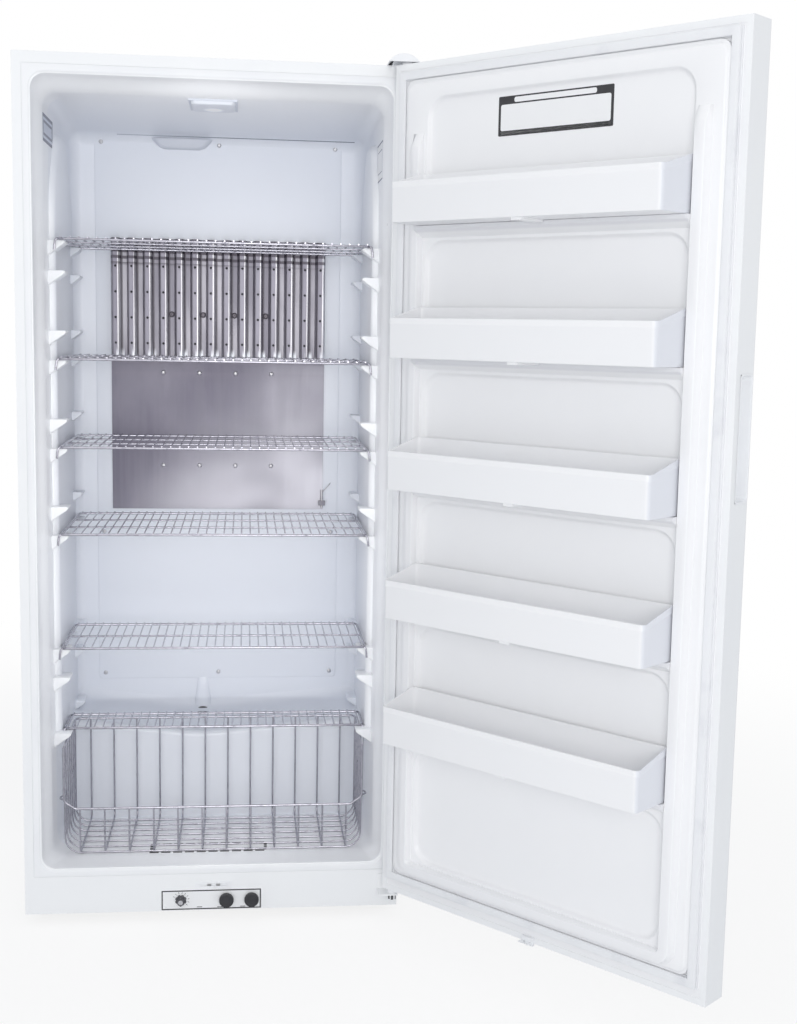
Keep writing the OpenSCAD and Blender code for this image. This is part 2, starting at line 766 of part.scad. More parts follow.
// White arched cap over the top hinge
module hinge_cover() color("white") front() {
  half = 33;
  rise = 17;
  arc = (half * half + rise * rise) / (2 * rise);
  difference() {
    translate([hinge_x - 8, 68, cab_top]) rotate([90, 0, 0]) linear_extrude(88 - hinge_y) difference() {
      translate([0, rise - arc]) circle(arc, $fn = 96);
      translate([-100, -200]) square([200, 200]);
    }
    translate([hinge_x - 8, 66, cab_top]) rotate([90, 0, 0]) linear_extrude(84 - hinge_y) difference() {
      translate([0, rise - arc]) circle(arc - 2, $fn = 96);
      translate([-100, -201]) square([200, 200.99]);
    }
  }
}

module bottom_hinge() color("white") front() {
  slab([hinge_x - 32, cab_x - 6], [-2.5, 0], [hinge_z, door_z0 + 20]);
  slab([hinge_x - 32, cab_x - 2], [hinge_y - 14, -2], [hinge_z, hinge_z + hinge_plate]);
  translate([hinge_x, hinge_y, hinge_z]) cylinder(d = pin_d, h = door_z0 + 22 - hinge_z);
  translate([hinge_x, hinge_y, hinge_z - 12]) cylinder(d = 19, h = 12, $fn = 6);
}

// Plate with a slot that takes the prongs of the door's catch
module catch_keeper() color("whitesmoke") front() difference() {
  slab([-42, 42], [-1.5, 0], [rail_z + 3, rail_z + 17]);
  slab([-31.5, 31.5], [-1.5 - cut, cut], [rail_z + 6.5, rail_z + 12.5]);
}

module unit_frame() color("dimgray") front() difference() {
  union() {
    for (s = [-1, 1]) slab([s * upright_x - 20, s * upright_x + 20], [cab_d, cab_d + bar_t],
      [base_h + 15, cond_z + 60]);
    for (z = [boiler_z - 50, tank_z, boiler_z + boiler_h - 60, cond_z])
      slab([-upright_x, upright_x], [cab_d, cab_d + bar_t], [z - 15, z + 15]);
  }
  bore_y(upright_x, line_z, 18, [cab_d - cut, cab_d + bar_t + cut]);
}

module condenser() color("silver") front() {
  rod([cond_x[0], boiler_y, cond_z], [cond_x[1], boiler_y, cond_z], riser_d);
  for (i = [0:cond_fins - 1]) translate([cond_x[0] + 10 + i * 15, unit_y, cond_z - cond_h / 2])
    cube([1, boiler_y - unit_y + 45, cond_h]);
}

module rectifier() color("slategray") front() pipe([
  [riser_x, boiler_y, boiler_z + boiler_h], [riser_x, boiler_y, cond_z], [cond_x[1], boiler_y, cond_z]
], riser_d);

module boiler_case() color("gray") front() difference() {
  translate([boiler_x, boiler_y, boiler_z]) cylinder(d = boiler_d, h = boiler_h);
  translate([boiler_x, boiler_y, boiler_z - cut]) cylinder(d = flue_d + 0.2, h = boiler_h + 2 * cut);
}

// Flue with its cap on three legs
module flue() color("dimgray") front() translate([boiler_x, boiler_y, 0]) {
  top = cond_z + 130;
  difference() {
    translate([0, 0, boiler_z - 8]) cylinder(d = flue_d, h = top - boiler_z + 8);
    translate([0, 0, boiler_z - 8 - cut]) cylinder(d = flue_d - 3, h = top);
  }
  translate([0, 0, top + 24]) cylinder(d1 = flue_d + 24, d2 = flue_d - 20, h = 14);
  for (a = [0:120:240]) rotate([0, 0, a]) translate([flue_d / 2 + 0.5, 0, top - 10])
    cylinder(d = 2.4, h = 36, $fn = 16);
}

// Tank with the bent pipe that climbs from it
module absorber() color("slategray") front() {
  rod([tank_x[0], tank_y, tank_z], [tank_x[1], tank_y, tank_z], tank_d);
  for (i = [0:coil_n - 1]) {
    z = coil_z + i * coil_rise;
    rod([coil_x[0], tank_y, z], [coil_x[1], tank_y, z], pipe_d);
    if (i < coil_n - 1) translate([coil_x[i % 2], tank_y, z + coil_rise / 2]) rotate([90, 0, 0])
      rotate([0, 0, i % 2 == 0 ? 90 : -90])
      rotate_extrude(angle = 180) translate([coil_rise / 2, 0]) circle(d = pipe_d);
  }
  rod([coil_x[1], tank_y, tank_z + tank_d / 2 - 4], [coil_x[1], tank_y, coil_z], pipe_d);
}

// Burner head over its jet block, on a bracket from the cross bar
module burner() color("silver") front() {
  z = boiler_z - 60;
  translate([boiler_x, boiler_y, z]) cylinder(d = 18, h = 16);
  translate([boiler_x, boiler_y, z + 12]) cylinder(d = 28, h = 18);
  slab([boiler_x - 20, boiler_x + 20], [cab_d + bar_t, boiler_y + 16], [z + 8, z + 11]);
}

module thermocouple() color("peru") front() {
  z = boiler_z - 49;
  translate([boiler_x + 17.4, boiler_y, z]) cylinder(d = 4.5, h = 42);
}

// Spark electrode beside the burner, with its lead to the igniter
module electrode_lead() color("white") front() {
  z = boiler_z - 49;
  spark_y = sheet + flange_b + spark_l;
  translate([boiler_x - 17.7, boiler_y, z]) cylinder(d = 5, h = 40);
  pipe([
    [boiler_x - 17.7, boiler_y, z + 4], [boiler_x - 40, boiler_y - 20, z - 20],
    [boiler_x - 40, boiler_y - 20, line_z + 12], [boiler_x - 40, lead_run, line_z + 12],
    [spark_x, lead_run, line_z + 12], [spark_x, spark_y + 34, line_z + 12],
    [spark_x, spark_y + 16, control_z], [spark_x, spark_y, control_z]
  ], 4);
}

// Plan of the door panel, drawn in by g
module door_plan(g) {
  r = door_r - g;
  translate([-cab_x + g, door_y0 + door_r]) square([cab_w - 2 * g, door_t - door_r - g]);
  translate([-cab_x + door_r, door_y0 + g]) square([cab_w - 2 * door_r, door_t - 2 * g]);
  for (s = [-1, 1]) translate([s * (cab_x - door_r), door_y0 + door_r]) circle(r);
}

module door_block(g) {
  translate([0, 0, door_z0 + g]) linear_extrude(door_z1 - door_z0 - 2 * g) door_plan(g);
}

// Outside of the handle cup, grown by g
module cup_block(g) {
  slab([-cab_x - cut, -cab_x + grip_d + cup_t], [grip_y - grip_w / 2 - g, grip_y + grip_w / 2 + g],
    [grip_z - grip_h / 2 - g, grip_z + grip_h / 2 + g]);
}

module bush_holes(d) {
  for (z = [door_z0 - cut, door_z1 - 26]) translate([hinge_x, hinge_y, z]) cylinder(d = d, h = 26 + cut);
}

module door_skin() color("white") on_door() difference() {
  door_block(0);
  door_block(sheet);
  slab([-cab_x + lip_w, cab_x - lip_w], [door_y1 - sheet - cut, door_y1 + cut], [lip_z0, lip_z1]);
  cup_block(cup_t);
  bush_holes(bush_d + 0.2);
}

// Raised face of the door liner, drawn in by g
module liner_form(g) {
  difference() {
    union() {
      slab([-plateau_x + g, plateau_x - g], [door_y1 - sheet - dliner_t - g, door_y1 + plateau_h - g],
        [plateau_z0 + g, plateau_z1 - g]);
      for (s = [0, 1]) mirror([s, 0, 0]) translate([0, 0, dike_z0 + g])
        linear_extrude(dike_z1 - dike_z0 - 2 * g) polygon([
          [dike_x + g, door_y1], [dike_x + g, door_y1 + dike_h - g],
          [dike_x + dike_w - g, door_y1 + dike_h - g],
          [dike_x + dike_w + 6 - g, door_y1 + plateau_h - g], [dike_x + dike_w + 6 - g, door_y1]
        ]);
      along_x([
        [door_y1, dike_z0 + g], [door_y1 + dike_h - g, dike_z0 + 6 + g],
        [door_y1 + dike_h - g, dike_z0 + 24 - g], [door_y1, dike_z0 + 24 - g]
      ], [-dike_x - dike_w + g, dike_x + dike_w - g]);
    }
    for (i = [0:bin_n]) {
      low = i == bin_n ? dike_z0 + 26 : bin_z[i] + 2;
      high = i == 0 ? plateau_z1 - 32 : bin_z[i - 1] - rib_h - 4;
      round_slab([-dike_x + 6 - g, dike_x - 6 + g], [door_y1 + panel_h - g, door_y1 + bin_out],
        [low - g, high + g], panel_r);
    }
  }
}

module door_foam() color("khaki") on_door() difference() {
  union() {
    intersection() {
      door_block(sheet);
      slab([-cab_x, cab_x], [door_y0, door_y1 - sheet - dliner_t], [door_z0, door_z1]);
    }
    liner_form(dliner_t);
  }
  cup_block(cup_t);
  bush_holes(bush_d + 0.2);
}

module door_liner() color("white") on_door() {
  difference() {
    union() {
      slab([-cab_x + sheet, cab_x - sheet], [door_y1 - sheet - dliner_t, door_y1 - sheet],
        [door_z0 + sheet, door_z1 - sheet]);
      liner_form(0);
    }
    liner_form(dliner_t);
    bush_holes(bush_d + 0.2);
    slab([-cab_x, cab_x], [door_y0, door_y1 - sheet - dliner_t], [door_z0, door_z1]);
  }
  for (z = bin_z) along_x([
    [door_y1 + plateau_h - dliner_t, z - rib_h], [door_y1 + rib_out, z - 8],
    [door_y1 + rib_out, z - seat], [door_y1 + plateau_h - dliner_t, z - seat]
  ], [-dike_x - dliner_t, dike_x + dliner_t]);
}

module gasket_ring(a, y) {
  difference() {
    slab([-gasket_x + a, gasket_x - a], y, [gasket_z0 + a, gasket_z1 - a]);
    slab([-gasket_x + gasket_w - a, gasket_x - gasket_w + a], [y[0] - cut, y[1] + cut],
      [gasket_z0 + gasket_w - a, gasket_z1 - gasket_w + a]);
  }
}

module door_gasket() color("white") on_door() {
  gasket_ring(0, [door_y1 - sheet, door_y1 + 3]);
  gasket_ring(2.5, [door_y1 + 3, door_y1 + 5]);
  gasket_ring(1, [door_y1 + 5, -seat]);
}

module handle_cup() color("white") on_door() difference() {
  union() {
    slab([-cab_x, -cab_x + grip_d + cup_t],
      [grip_y - grip_w / 2 - cup_t, grip_y + grip_w / 2 + cup_t],
      [grip_z - grip_h / 2 - cup_t, grip_z + grip_h / 2 + cup_t]);
    round_slab_x([-cab_x - 1, -cab_x], [grip_y - grip_w / 2 - 4, grip_y + grip_w / 2 + 4],
      [grip_z - grip_h / 2 - 4, grip_z + grip_h / 2 + 4], 8);
  }
  round_slab_x([-cab_x - 2, -cab_x + grip_d], [grip_y - grip_w / 2, grip_y + grip_w / 2],
    [grip_z - grip_h / 2, grip_z + grip_h / 2], 8);
}

// Block with round edges along X
module round_slab_x(x, y, z, r) {
  translate([x[0], 0, 0]) rotate([90, 0, 90]) linear_extrude(x[1] - x[0]) round_rect(y, z, r);
}

// Plain bushes in the door, with collars that space it from the hinge plates
module hinge_bushes() color("whitesmoke") on_door() translate([hinge_x, hinge_y, 0]) {
  low = hinge_z + hinge_plate + seat;
  high = cab_top - seat;
  difference() {
    union() {
      translate([0, 0, low]) cylinder(d = bush_d, h = door_z0 + 25 - low);
      translate([0, 0, low]) cylinder(d = bush_d + 5, h = door_z0 - low);
    }
    translate([0, 0, low - cut]) cylinder(d = pin_d + 2 * running, h = 60);
  }
  difference() {
    union() {
      translate([0, 0, door_z1 - 25]) cylinder(d = bush_d, h = high - door_z1 + 25);
      translate([0, 0, door_z1]) cylinder(d = bush_d + 5, h = high - door_z1);
    }
    translate([0, 0, door_z1 - 40]) cylinder(d = pin_d + 2 * running, h = 60);
  }
}

// Catch under the door's middle, with two prongs for the keeper's slot
module door_catch() color("white") on_door() {
  difference() {
    slab([-15, 15], [door_y1, door_y1 + 7], [door_z0 - 4, door_z0 + lip_w]);
    for (s = [-1, 1]) slab([s * 8 - 2.5, s * 8 + 2.5], [door_y1 + 3, door_y1 + 7 + cut],
      [door_z0 - 1, door_z0 + 5]);
  }
  for (s = [-1, 1]) slab([s * 10 - 3, s * 10 + 3], [door_y1 + 6, 8], [rail_z + 8, rail_z + 11]);
}

module shelf(i, y0, depth, rods) {
  z = ledge_z[shelf_levels[i]] + seat + rod_d / 2;
  y1 = y0 + depth;
  wire_z = z + rod_d / 2 + wire_d / 2 - 0.4;
  n = floor((shelf_x - rod_d - wire_d) / wire_pitch);
  for (k = [-n:n]) rod([k * wire_pitch, y0 + 1, wire_z], [k * wire_pitch, y1 - 1, wire_z], wire_d);
  side_x = shelf_x - rod_d / 2;
  cross_d = rod_d - 0.4;
  for (s = [-1, 1]) rod([s * side_x, y0, z], [s * side_x, y1, z], rod_d);
  for (y = [y0 + rod_d / 2, y1 - rod_d / 2]) rod([-shelf_x - 2, y, z], [shelf_x + 2, y, z], cross_d);
  for (k = [1:1:rods]) {
    y = y0 + k * depth / (rods + 1);
    rod([-side_x, y, z - 0.3], [side_x, y, z - 0.3], rod_d - 1);
  }
}

module shelf_1() color("silver") front() shelf(0, shelf_back, shelf_d, 2);
module shelf_2() color("silver") front() shelf(1, shelf_back, shelf_d, 2);
module shelf_3() color("silver") front() shelf(2, shelf_back, shelf_d, 2);
module shelf_4() color("silver") front() shelf(3, shelf_back, shelf_d, 2);
module shelf_5() color("silver") front() shelf(4, shelf_back, short_d, 1);
module shelf_6() color("silver") front() shelf(5, narrow_back, narrow_d, 0);

// Quarter bend in the plane of X and Z, or of Y and Z, about a centre
module bend(centre, turn, r, d) {
  translate(centre) rotate(turn) rotate([90, 0, 0]) rotate_extrude(angle = 90)
    translate([r, 0]) circle(d = d);
}

module wire_basket() color("silver") front() {
  d = basket_wire;
  bx = basket_w / 2 - d / 2;
  y0 = basket_back + d / 2;
  y1 = basket_back + basket_d - d / 2;
  z0 = floor_z + seat + d / 2;
  z1 = floor_z + basket_h - d;
  zf = floor_z + basket_front_h;
  r = 36;
  q = 16;
  corner = 28;
  step = (y1 - y0 - 2 * q) / (basket_cross_n - 1);
  for (k = [0:basket_cross_n - 1]) {
    y = y0 + q + k * step;
    rod([-bx + r, y, z0], [bx - r, y, z0], d);
    for (s = [0, 1]) mirror([s, 0, 0]) {
      bend([bx - r, y, z0 + r], [0, 90, 0], r, d);
      rod([bx, y, z0 + r], [bx, y, z1], d);
    }
  }
  gap = 2 * (bx - r) / (basket_long_n - 1);
  for (k = [0:basket_long_n - 1]) {
    x = -bx + r + k * gap;
    zl = z0 + d - 0.4;
    rod([x, y0 + q, zl], [x, y1 - q, zl], d);
    bend([x, y0 + q, zl + q], [0, 90, -90], q, d);
    bend([x, y1 - q, zl + q], [0, 90, 90], q, d);
    rod([x, y0, zl + q], [x, y0, zf], d);
    rod([x, y1, zl + q], [x, y1, z1], d);
  }
  rim = d + 1.5;
  bow = 12;
  bow_z = zf + 16;
  rod([-bx - 2, y1, z1], [bx + 2, y1, z1], rim);
  rod([-bx + corner - 1, y0, zf], [bx - corner + 1, y0, zf], rim);
  for (s = [-1, 1]) {
    rod([s * bx, y0 - 1, z1], [s * bx, y1, z1], rim);
    rod([s * bx, y0, zf + 22], [s * bx, y0, z1], rim - 0.4);
    rod([s * (bx - corner - 1), y0, zf - 1], [s * (bx + 1), y0, zf + 25], rim - 0.8);
    rod([s * (bx - 1), y0 + q, bow_z], [s * (bx + bow + 0.5), y0 + q + 10, bow_z], d - 0.4);
    rod([s * (bx + bow), y0 + q + 8, bow_z], [s * (bx + bow), y0 + q + step - 8, bow_z], d);
    rod([s * (bx + bow + 0.5), y0 + q + step - 10, bow_z], [s * (bx - 1), y0 + q + step, bow_z], d - 0.4);
  }
}

// Tray of a bin between the dikes, on its rib
module bin(i) {
  y0 = door_y1 + plateau_h + seat;
  y1 = door_y1 + bin_out;
  z = bin_z[i];
  difference() {
    along_x([
      [y0, z], [y1, z], [y1, z + bin_h], [y1 - 12, z + bin_h + 2], [y0 + 12, z + bin_h + bin_rise],
      [y0, z + bin_h + bin_rise]
    ], [-bin_w / 2, bin_w / 2]);
    slab([-bin_w / 2 + bin_t, bin_w / 2 - bin_t], [y0 + bin_t, y1 - bin_t],
      [z + bin_t, z + bin_h + bin_rise + cut]);
  }
  slab([-bin_w / 2 + 6, bin_w / 2 - 6], [y1 - cut, y1 + 1], [z + bin_h - 12, z + bin_h - 8]);
  slab([-12, 12], [door_y1 + rib_out + 4, y1 - 6], [z - 5, z + 1]);
}

module door_bin_1() color("white") on_door() bin(0);
module door_bin_2() color("white") on_door() bin(1);
module door_bin_3() color("white") on_door() bin(2);
module door_bin_4() color("white") on_door() bin(3);
module door_bin_5() color("white") on_door() bin(4);

outer_shell();
base_frame();
bottom_pan();
back_panel();
foam_body();
liner();
throat_frame();
back_cover();
interior_screws();
evaporator_plate();
evaporator_fins();
evaporator_pipes();
capillary();
bulb_clip();
drain_tube();
drip_tray();
lamp_base();
lamp_lens();
kick_panel();
control_plate();
thermostat_body();
gas_valve();
piezo_igniter();
gas_line();
gas_inlet();
top_hinge();
hinge_cover();
bottom_hinge();
catch_keeper();
unit_frame();
condenser();
rectifier();
boiler_case();
flue();
absorber();
burner();
thermocouple();
electrode_lead();
door_skin();
door_foam();
door_liner();
door_gasket();
handle_cup();
hinge_bushes();
door_catch();
thermostat_knob();
gas_button();
igniter_button();
shelf_1();
shelf_2();
shelf_3();
shelf_4();
shelf_5();
shelf_6();
wire_basket();
door_bin_1();
door_bin_2();
door_bin_3();
door_bin_4();
door_bin_5();
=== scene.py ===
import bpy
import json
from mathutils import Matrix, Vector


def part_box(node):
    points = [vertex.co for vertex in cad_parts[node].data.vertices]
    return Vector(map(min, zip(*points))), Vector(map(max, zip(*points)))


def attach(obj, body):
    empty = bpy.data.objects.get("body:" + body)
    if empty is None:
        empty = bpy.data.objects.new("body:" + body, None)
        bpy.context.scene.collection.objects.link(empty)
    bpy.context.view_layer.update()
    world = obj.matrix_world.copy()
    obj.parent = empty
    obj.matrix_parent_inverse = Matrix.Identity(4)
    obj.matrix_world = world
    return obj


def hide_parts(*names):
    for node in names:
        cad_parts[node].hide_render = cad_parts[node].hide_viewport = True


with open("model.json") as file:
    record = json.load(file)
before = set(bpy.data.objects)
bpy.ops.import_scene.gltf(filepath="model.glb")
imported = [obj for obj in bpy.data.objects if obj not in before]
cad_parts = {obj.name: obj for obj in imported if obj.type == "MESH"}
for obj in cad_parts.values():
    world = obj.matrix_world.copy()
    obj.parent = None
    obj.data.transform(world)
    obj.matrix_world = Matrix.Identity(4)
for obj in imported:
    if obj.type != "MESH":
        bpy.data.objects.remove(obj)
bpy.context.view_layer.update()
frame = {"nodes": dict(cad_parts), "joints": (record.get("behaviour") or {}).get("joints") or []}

import json
import math
from contextlib import contextmanager

import bmesh
import bpy
from mathutils import Matrix, Vector


# The photographer's place: a little right of the cabinet's middle and at breast height, looking slightly down and
# to the right, so that the left inner wall and the inside of the open door both show.
def at(x, y, z):
    """Millimetres, with y counted from the cabinet's front face, as metres in the frame."""
    return Vector((x, y - 320, z)) / 1000


def link(name, data):
    """A new object in the scene."""
    made = bpy.data.objects.new(name, data)
    bpy.context.collection.objects.link(made)
    return made


lens = bpy.data.cameras.new("camera")
lens.lens = 49.974
lens.sensor_width = 36
lens.shift_x = -0.0139
lens.shift_y = 0.0103
lens.clip_end = 60
camera = link("camera", lens)
ahead = Vector((0.11718517, 0.98414116, -0.13316838)).normalized()
up = Vector((-0.00388975, 0.13454607, 0.9908997)).normalized()
right = ahead.cross(up).normalized()
camera.matrix_world = Matrix.Translation(at(67.782, -3133.869, 1343.992)) @ Matrix(
    (right, right.cross(ahead), -ahead)).transposed().to_4x4()
bpy.context.scene.camera = camera
bpy.context.scene.view_settings.view_transform = "Standard"


# The room: a white floor that keeps the refrigerator's shadow, and white all round. Two large soft lamps stand in
# front, a third hangs above, and a weak fourth in the doorway lights the inside, where the room's light is short.
class Tone:
    """One value in a material or a node tree, with the arithmetic that is used on it."""

    def __init__(self, net, socket):
        self.net, self.socket = net, socket

    def __add__(self, other):
        return self.net.math("ADD", self, other)

    def __sub__(self, other):
        return self.net.math("SUBTRACT", self, other)

    def __rsub__(self, other):
        return self.net.math("SUBTRACT", other, self)

    def __mul__(self, other):
        return self.net.math("MULTIPLY", self, other)

    def __truediv__(self, other):
        return self.net.math("DIVIDE", self, other)

    def __rtruediv__(self, other):
        return self.net.math("DIVIDE", other, self)

    __radd__ = __add__
    __rmul__ = __mul__


class Net:
    """A tree of nodes, to which each node is added with the values of its sockets and its settings."""

    def __init__(self, tree):
        self.tree = tree

    def node(self, kind, values=None, out=0, **settings):
        made = self.tree.nodes.new(kind)
        for key, value in settings.items():
            setattr(made, key, value)
        for key, value in (values or {}).items():
            if isinstance(value, Tone):
                self.tree.links.new(value.socket, made.inputs[key])
            else:
                made.inputs[key].default_value = value
        if made.outputs:
            return Tone(self, made.outputs[out])

    def math(self, operation, *values):
        return self.node("ShaderNodeMath", dict(enumerate(values)), operation=operation)


class Finish(Net):
    """A surface finish on the object's own coordinates."""

    def __init__(self, name):
        self.material = bpy.data.materials.new(name)
        self.material.use_nodes = True
        super().__init__(self.material.node_tree)
        self.tree.nodes.clear()
        self.place = self.node("ShaderNodeTexCoord", out=3)

    def axes(self):
        return [self.node("ShaderNodeSeparateXYZ", {0: self.place}, out) for out in range(3)]

    def noise(self, scale, detail=3.0, stretch=None):
        place = self.node("ShaderNodeMapping", {0: self.place, 3: stretch}) if stretch else self.place
        return self.node("ShaderNodeTexNoise", {"Vector": place, "Scale": scale, "Detail": detail})

    def band(self, value, low, high, to_low=0.0, to_high=1.0):
        return self.node("ShaderNodeMapRange", {0: value, 1: low, 2: high, 3: to_low, 4: to_high},
                         interpolation_type="SMOOTHSTEP")

    def mix(self, share, first, second):
        pair = [(*c, 1) if isinstance(c, tuple) else c for c in (first, second)]
        return self.node("ShaderNodeMix", {0: share, 6: pair[0], 7: pair[1]}, 2, data_type="RGBA")

    def bump(self, depth, height):
        return self.node("ShaderNodeBump", {"Height": height, "Distance": depth})

    def grain(self, depth, *noise):
        return self.bump(depth, self.noise(*noise))

    def close(self, colour, rough, normal, **fixed):
        values = {"Base Color": colour, "Roughness": rough, "Normal": normal}
        values.update({key.replace("_", " "): value for key, value in fixed.items()})
        self.node("ShaderNodeOutputMaterial", {0: self.node("ShaderNodeBsdfPrincipled", values)})
        return self.material


studio = bpy.data.worlds.new("studio")
bpy.context.scene.world = studio
studio.use_nodes = True
studio.node_tree.nodes.clear()
air = Net(studio.node_tree)
seen = air.node("ShaderNodeLightPath", out=0)
mirrored = air.node("ShaderNodeLightPath", out=3)
around = air.node("ShaderNodeBackground", {0: (0.93, 0.96, 1.0, 1), 1: 0.64})
white = air.node("ShaderNodeBackground", {0: (1, 1, 1, 1), 1: 1.0})
air.node("ShaderNodeOutputWorld", {0: air.node("ShaderNodeMixShader", {
    0: air.math("MAXIMUM", seen, mirrored), 1: around, 2: white})})

ground = bpy.data.meshes.new("ground")
ground.from_pydata([(-14, -12, 0), (14, -12, 0), (14, 16, 0), (-14, 16, 0)], [], [(0, 1, 2, 3)])
paper = Finish("white_floor")
lit = paper.node("ShaderNodeBsdfDiffuse", {
    0: paper.mix(paper.noise(3.0, 4.0), (0.90, 0.91, 0.92), (0.93, 0.93, 0.94))})
bright = paper.node("ShaderNodeEmission", {0: (1, 1, 1, 1), 1: 1.0})
looked_at = paper.node("ShaderNodeLightPath", out=0)
away = paper.node("ShaderNodeVectorMath", {0: paper.place}, 1, operation="LENGTH")
paper.node("ShaderNodeOutputMaterial", {0: paper.node("ShaderNodeMixShader", {
    0: looked_at * paper.band(away, 1.0, 3.2, 0.82, 1.0), 1: lit, 2: bright})})
ground.materials.append(paper.material)
link("ground", ground)

for label, spot, aim, size, watts in (
        ("lamp_left", (-1500, -3400, 2500), (150, 100, 1000), 2.4, 8),
        ("lamp_front", (300, -4300, 1400), (0, 300, 1050), 1.8, 44),
        ("lamp_above", (0, -900, 3900), (0, 0, 900), 2.6, 10),
        ("lamp_inside", (0, -8, 1000), (0, 500, 1000), 0.74, 1.15)):
    glow = bpy.data.lights.new(label, "AREA")
    glow.shape = "ELLIPSE" if size < 1 else "DISK"
    glow.size = size
    glow.size_y = 1.7
    glow.energy = watts
    glow.color = (1.0, 0.985, 0.97)
    holder = link(label, glow)
    holder.location = at(*spot)
    holder.rotation_euler = (at(*aim) - at(*spot)).to_track_quat("-Z", "Y").to_euler()


# Base: a ring of steel channel, welded at its corners and painted dark grey. It carries the cabinet and is set back
# from its front, and stands straight on the floor.
def enamel(name, colour, dark, rough, peel=0.00005):
    """Baked enamel: a fine orange peel, slightly uneven gloss, and a trace of grime."""
    made = Finish(name)
    tint = made.mix(made.band(made.noise(5.0, 5.0), 0.42, 0.72), colour, dark)
    return made.close(tint, rough + made.noise(14) * 0.09, made.grain(peel, 420, 2.0), Specular_IOR_Level=0.45)


def dress(material, *nodes):
    """Gives CAD pieces their finish."""
    for node in nodes:
        for slot in frame["nodes"][node].material_slots:
            slot.link = "DATA"
            slot.material = material


base_paint = enamel("base_paint", (0.075, 0.078, 0.085), (0.12, 0.115, 0.11), 0.5, 0.00012)
dress(base_paint, "base_frame")


# Outer case: one sheet of steel folded over the sides and top, in white enamel, with a flange round the door
# opening, and a rail under it. The lower panel hides the gas controls and hooks under the rail.
case_enamel = enamel("case_enamel", (0.93, 0.94, 0.95), (0.917, 0.927, 0.941), 0.26)
dress(case_enamel, "outer_shell", "kick_panel")


# Zinc-plated sheets under the floor and at the back of the case. Large pale crystals of zinc show on them.
zinc = Finish("zinc_plate")
cell = zinc.node("ShaderNodeTexVoronoi", {"Vector": zinc.place, "Scale": 55.0}, 1)
grey = zinc.node("ShaderNodeSeparateColor", {0: cell})
tint = zinc.mix(grey * 0.55 + zinc.noise(9, 4.0, (1, 1, 0.15)) * 0.35, (0.56, 0.57, 0.60), (0.74, 0.75, 0.77))
zinc_plate = zinc.close(tint, 0.30 + grey * 0.16, zinc.grain(0.00003, 240, 2.0), Metallic=0.9)
dress(zinc_plate, "bottom_pan", "back_panel")


# Foam that was poured between the case and the liner, and in the door. It is pale yellow with small closed cells,
# and no part of it shows from outside.
foam = Finish("poured_foam")
cells = foam.node("ShaderNodeTexVoronoi", {"Vector": foam.place, "Scale": 420.0}, feature="DISTANCE_TO_EDGE")
foam_finish = foam.close(foam.mix(foam.noise(30, 4.0), (0.80, 0.70, 0.42), (0.88, 0.80, 0.55)), 0.92,
                         foam.bump(0.0006, cells))


@contextmanager
def reworked(mesh):
    """Opens a mesh for changes, and writes them back."""
    work = bmesh.new()
    work.from_mesh(mesh)
    yield work
    work.to_mesh(mesh)
    work.free()


def skin(name, rings, loop=False, ring_open=False):
    """A surface through rings of points. Its ends are closed, or it runs back into itself."""
    n, m = len(rings[0]), len(rings)
    faces = [(i * n + k, i * n + (k + 1) % n, (i + 1) % m * n + (k + 1) % n, (i + 1) % m * n + k)
             for i in range(m if loop else m - 1) for k in range(n - 1 if ring_open else n)]
    if not loop:
        faces += [tuple(reversed(range(n))), tuple(range((m - 1) * n, m * n))]
    mesh = bpy.data.meshes.new(name)
    mesh.from_pydata([p for ring in rings for p in ring], [], faces)
    with reworked(mesh) as work:
        bmesh.ops.remove_doubles(work, verts=work.verts, dist=1e-6)
        bmesh.ops.dissolve_degenerate(work, dist=1e-7, edges=work.edges)
        bmesh.ops.recalc_face_normals(work, faces=work.faces)
    return link(name, mesh)


def oblong(a, b, r, n=6):
    """Corners of a rectangle with round corners, as pairs."""
    turn = []
    for (p, q, start) in ((a[1] - r, b[1] - r, 0), (a[0] + r, b[1] - r, 90), (a[0] + r, b[0] + r, 180),
                          (a[1] - r, b[0] + r, 270)):
        for k in range(n + 1):
            angle = math.radians(start + 90 * k / n)
            turn.append((p + r * math.cos(angle), q + r * math.sin(angle)))
    return turn


def upright(y, *form):
    """One ring that faces the front."""
    return [at(x, y, z) for x, z in oblong(*form)]


def section(y, half, low, top, r, n=8):
    """One ring across the cabinet."""
    return upright(y, (-half, half), (low, top), r, n)


def fit(obj, body, material, slot, *nodes, angle=35):
    """Finishes a piece and fastens it to its body in place of CAD pieces."""
    if material:
        obj.data.materials.clear()
        obj.data.materials.append(material)
    obj.data.shade_smooth()
    obj.data.set_sharp_from_angle(angle=math.radians(angle))
    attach(obj, body)
    if nodes:
        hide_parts(*nodes)


filling = skin("cabinet_foam", [section(*form) for form in (
    (638.2, 418.5, 293, 1906.5, 2), (399, 418.5, 293, 1906.5, 2), (398.6, 418.5, 93.5, 1906.5, 2),
    (9, 418.5, 93.5, 1906.5, 2), (9, 386, 125, 1869, 34), (72, 371, 125.5, 1841, 34), (250, 371, 125.5, 1841, 34),
    (391, 371, 125.5, 1832, 34), (392, 371, 297, 1832, 20), (550, 371, 297, 1820, 20))])
fit(filling, "cabinet", foam_finish, "foam", "foam_body", angle=30)


# Liner: white sheet plastic, drawn over a mould into one deep box. Its mouth flares out, its corners are round, and
# its sides carry a raised panel and four columns of small shelf supports. At the back a hollow step has a gutter.
def join(name, parts):
    """Makes one mesh of several objects."""
    mesh = bpy.data.meshes.new(name)
    with reworked(mesh) as work:
        for part in parts:
            work.from_mesh(part.data)
            bpy.data.objects.remove(part)
    return link(name, mesh)


def settle(obj):
    """Turns what the modifiers make into the object's plain mesh."""
    made = bpy.data.meshes.new_from_object(obj.evaluated_get(bpy.context.evaluated_depsgraph_get()))
    obj.modifiers.clear()
    obj.data = made
    made.name = obj.name
    return obj


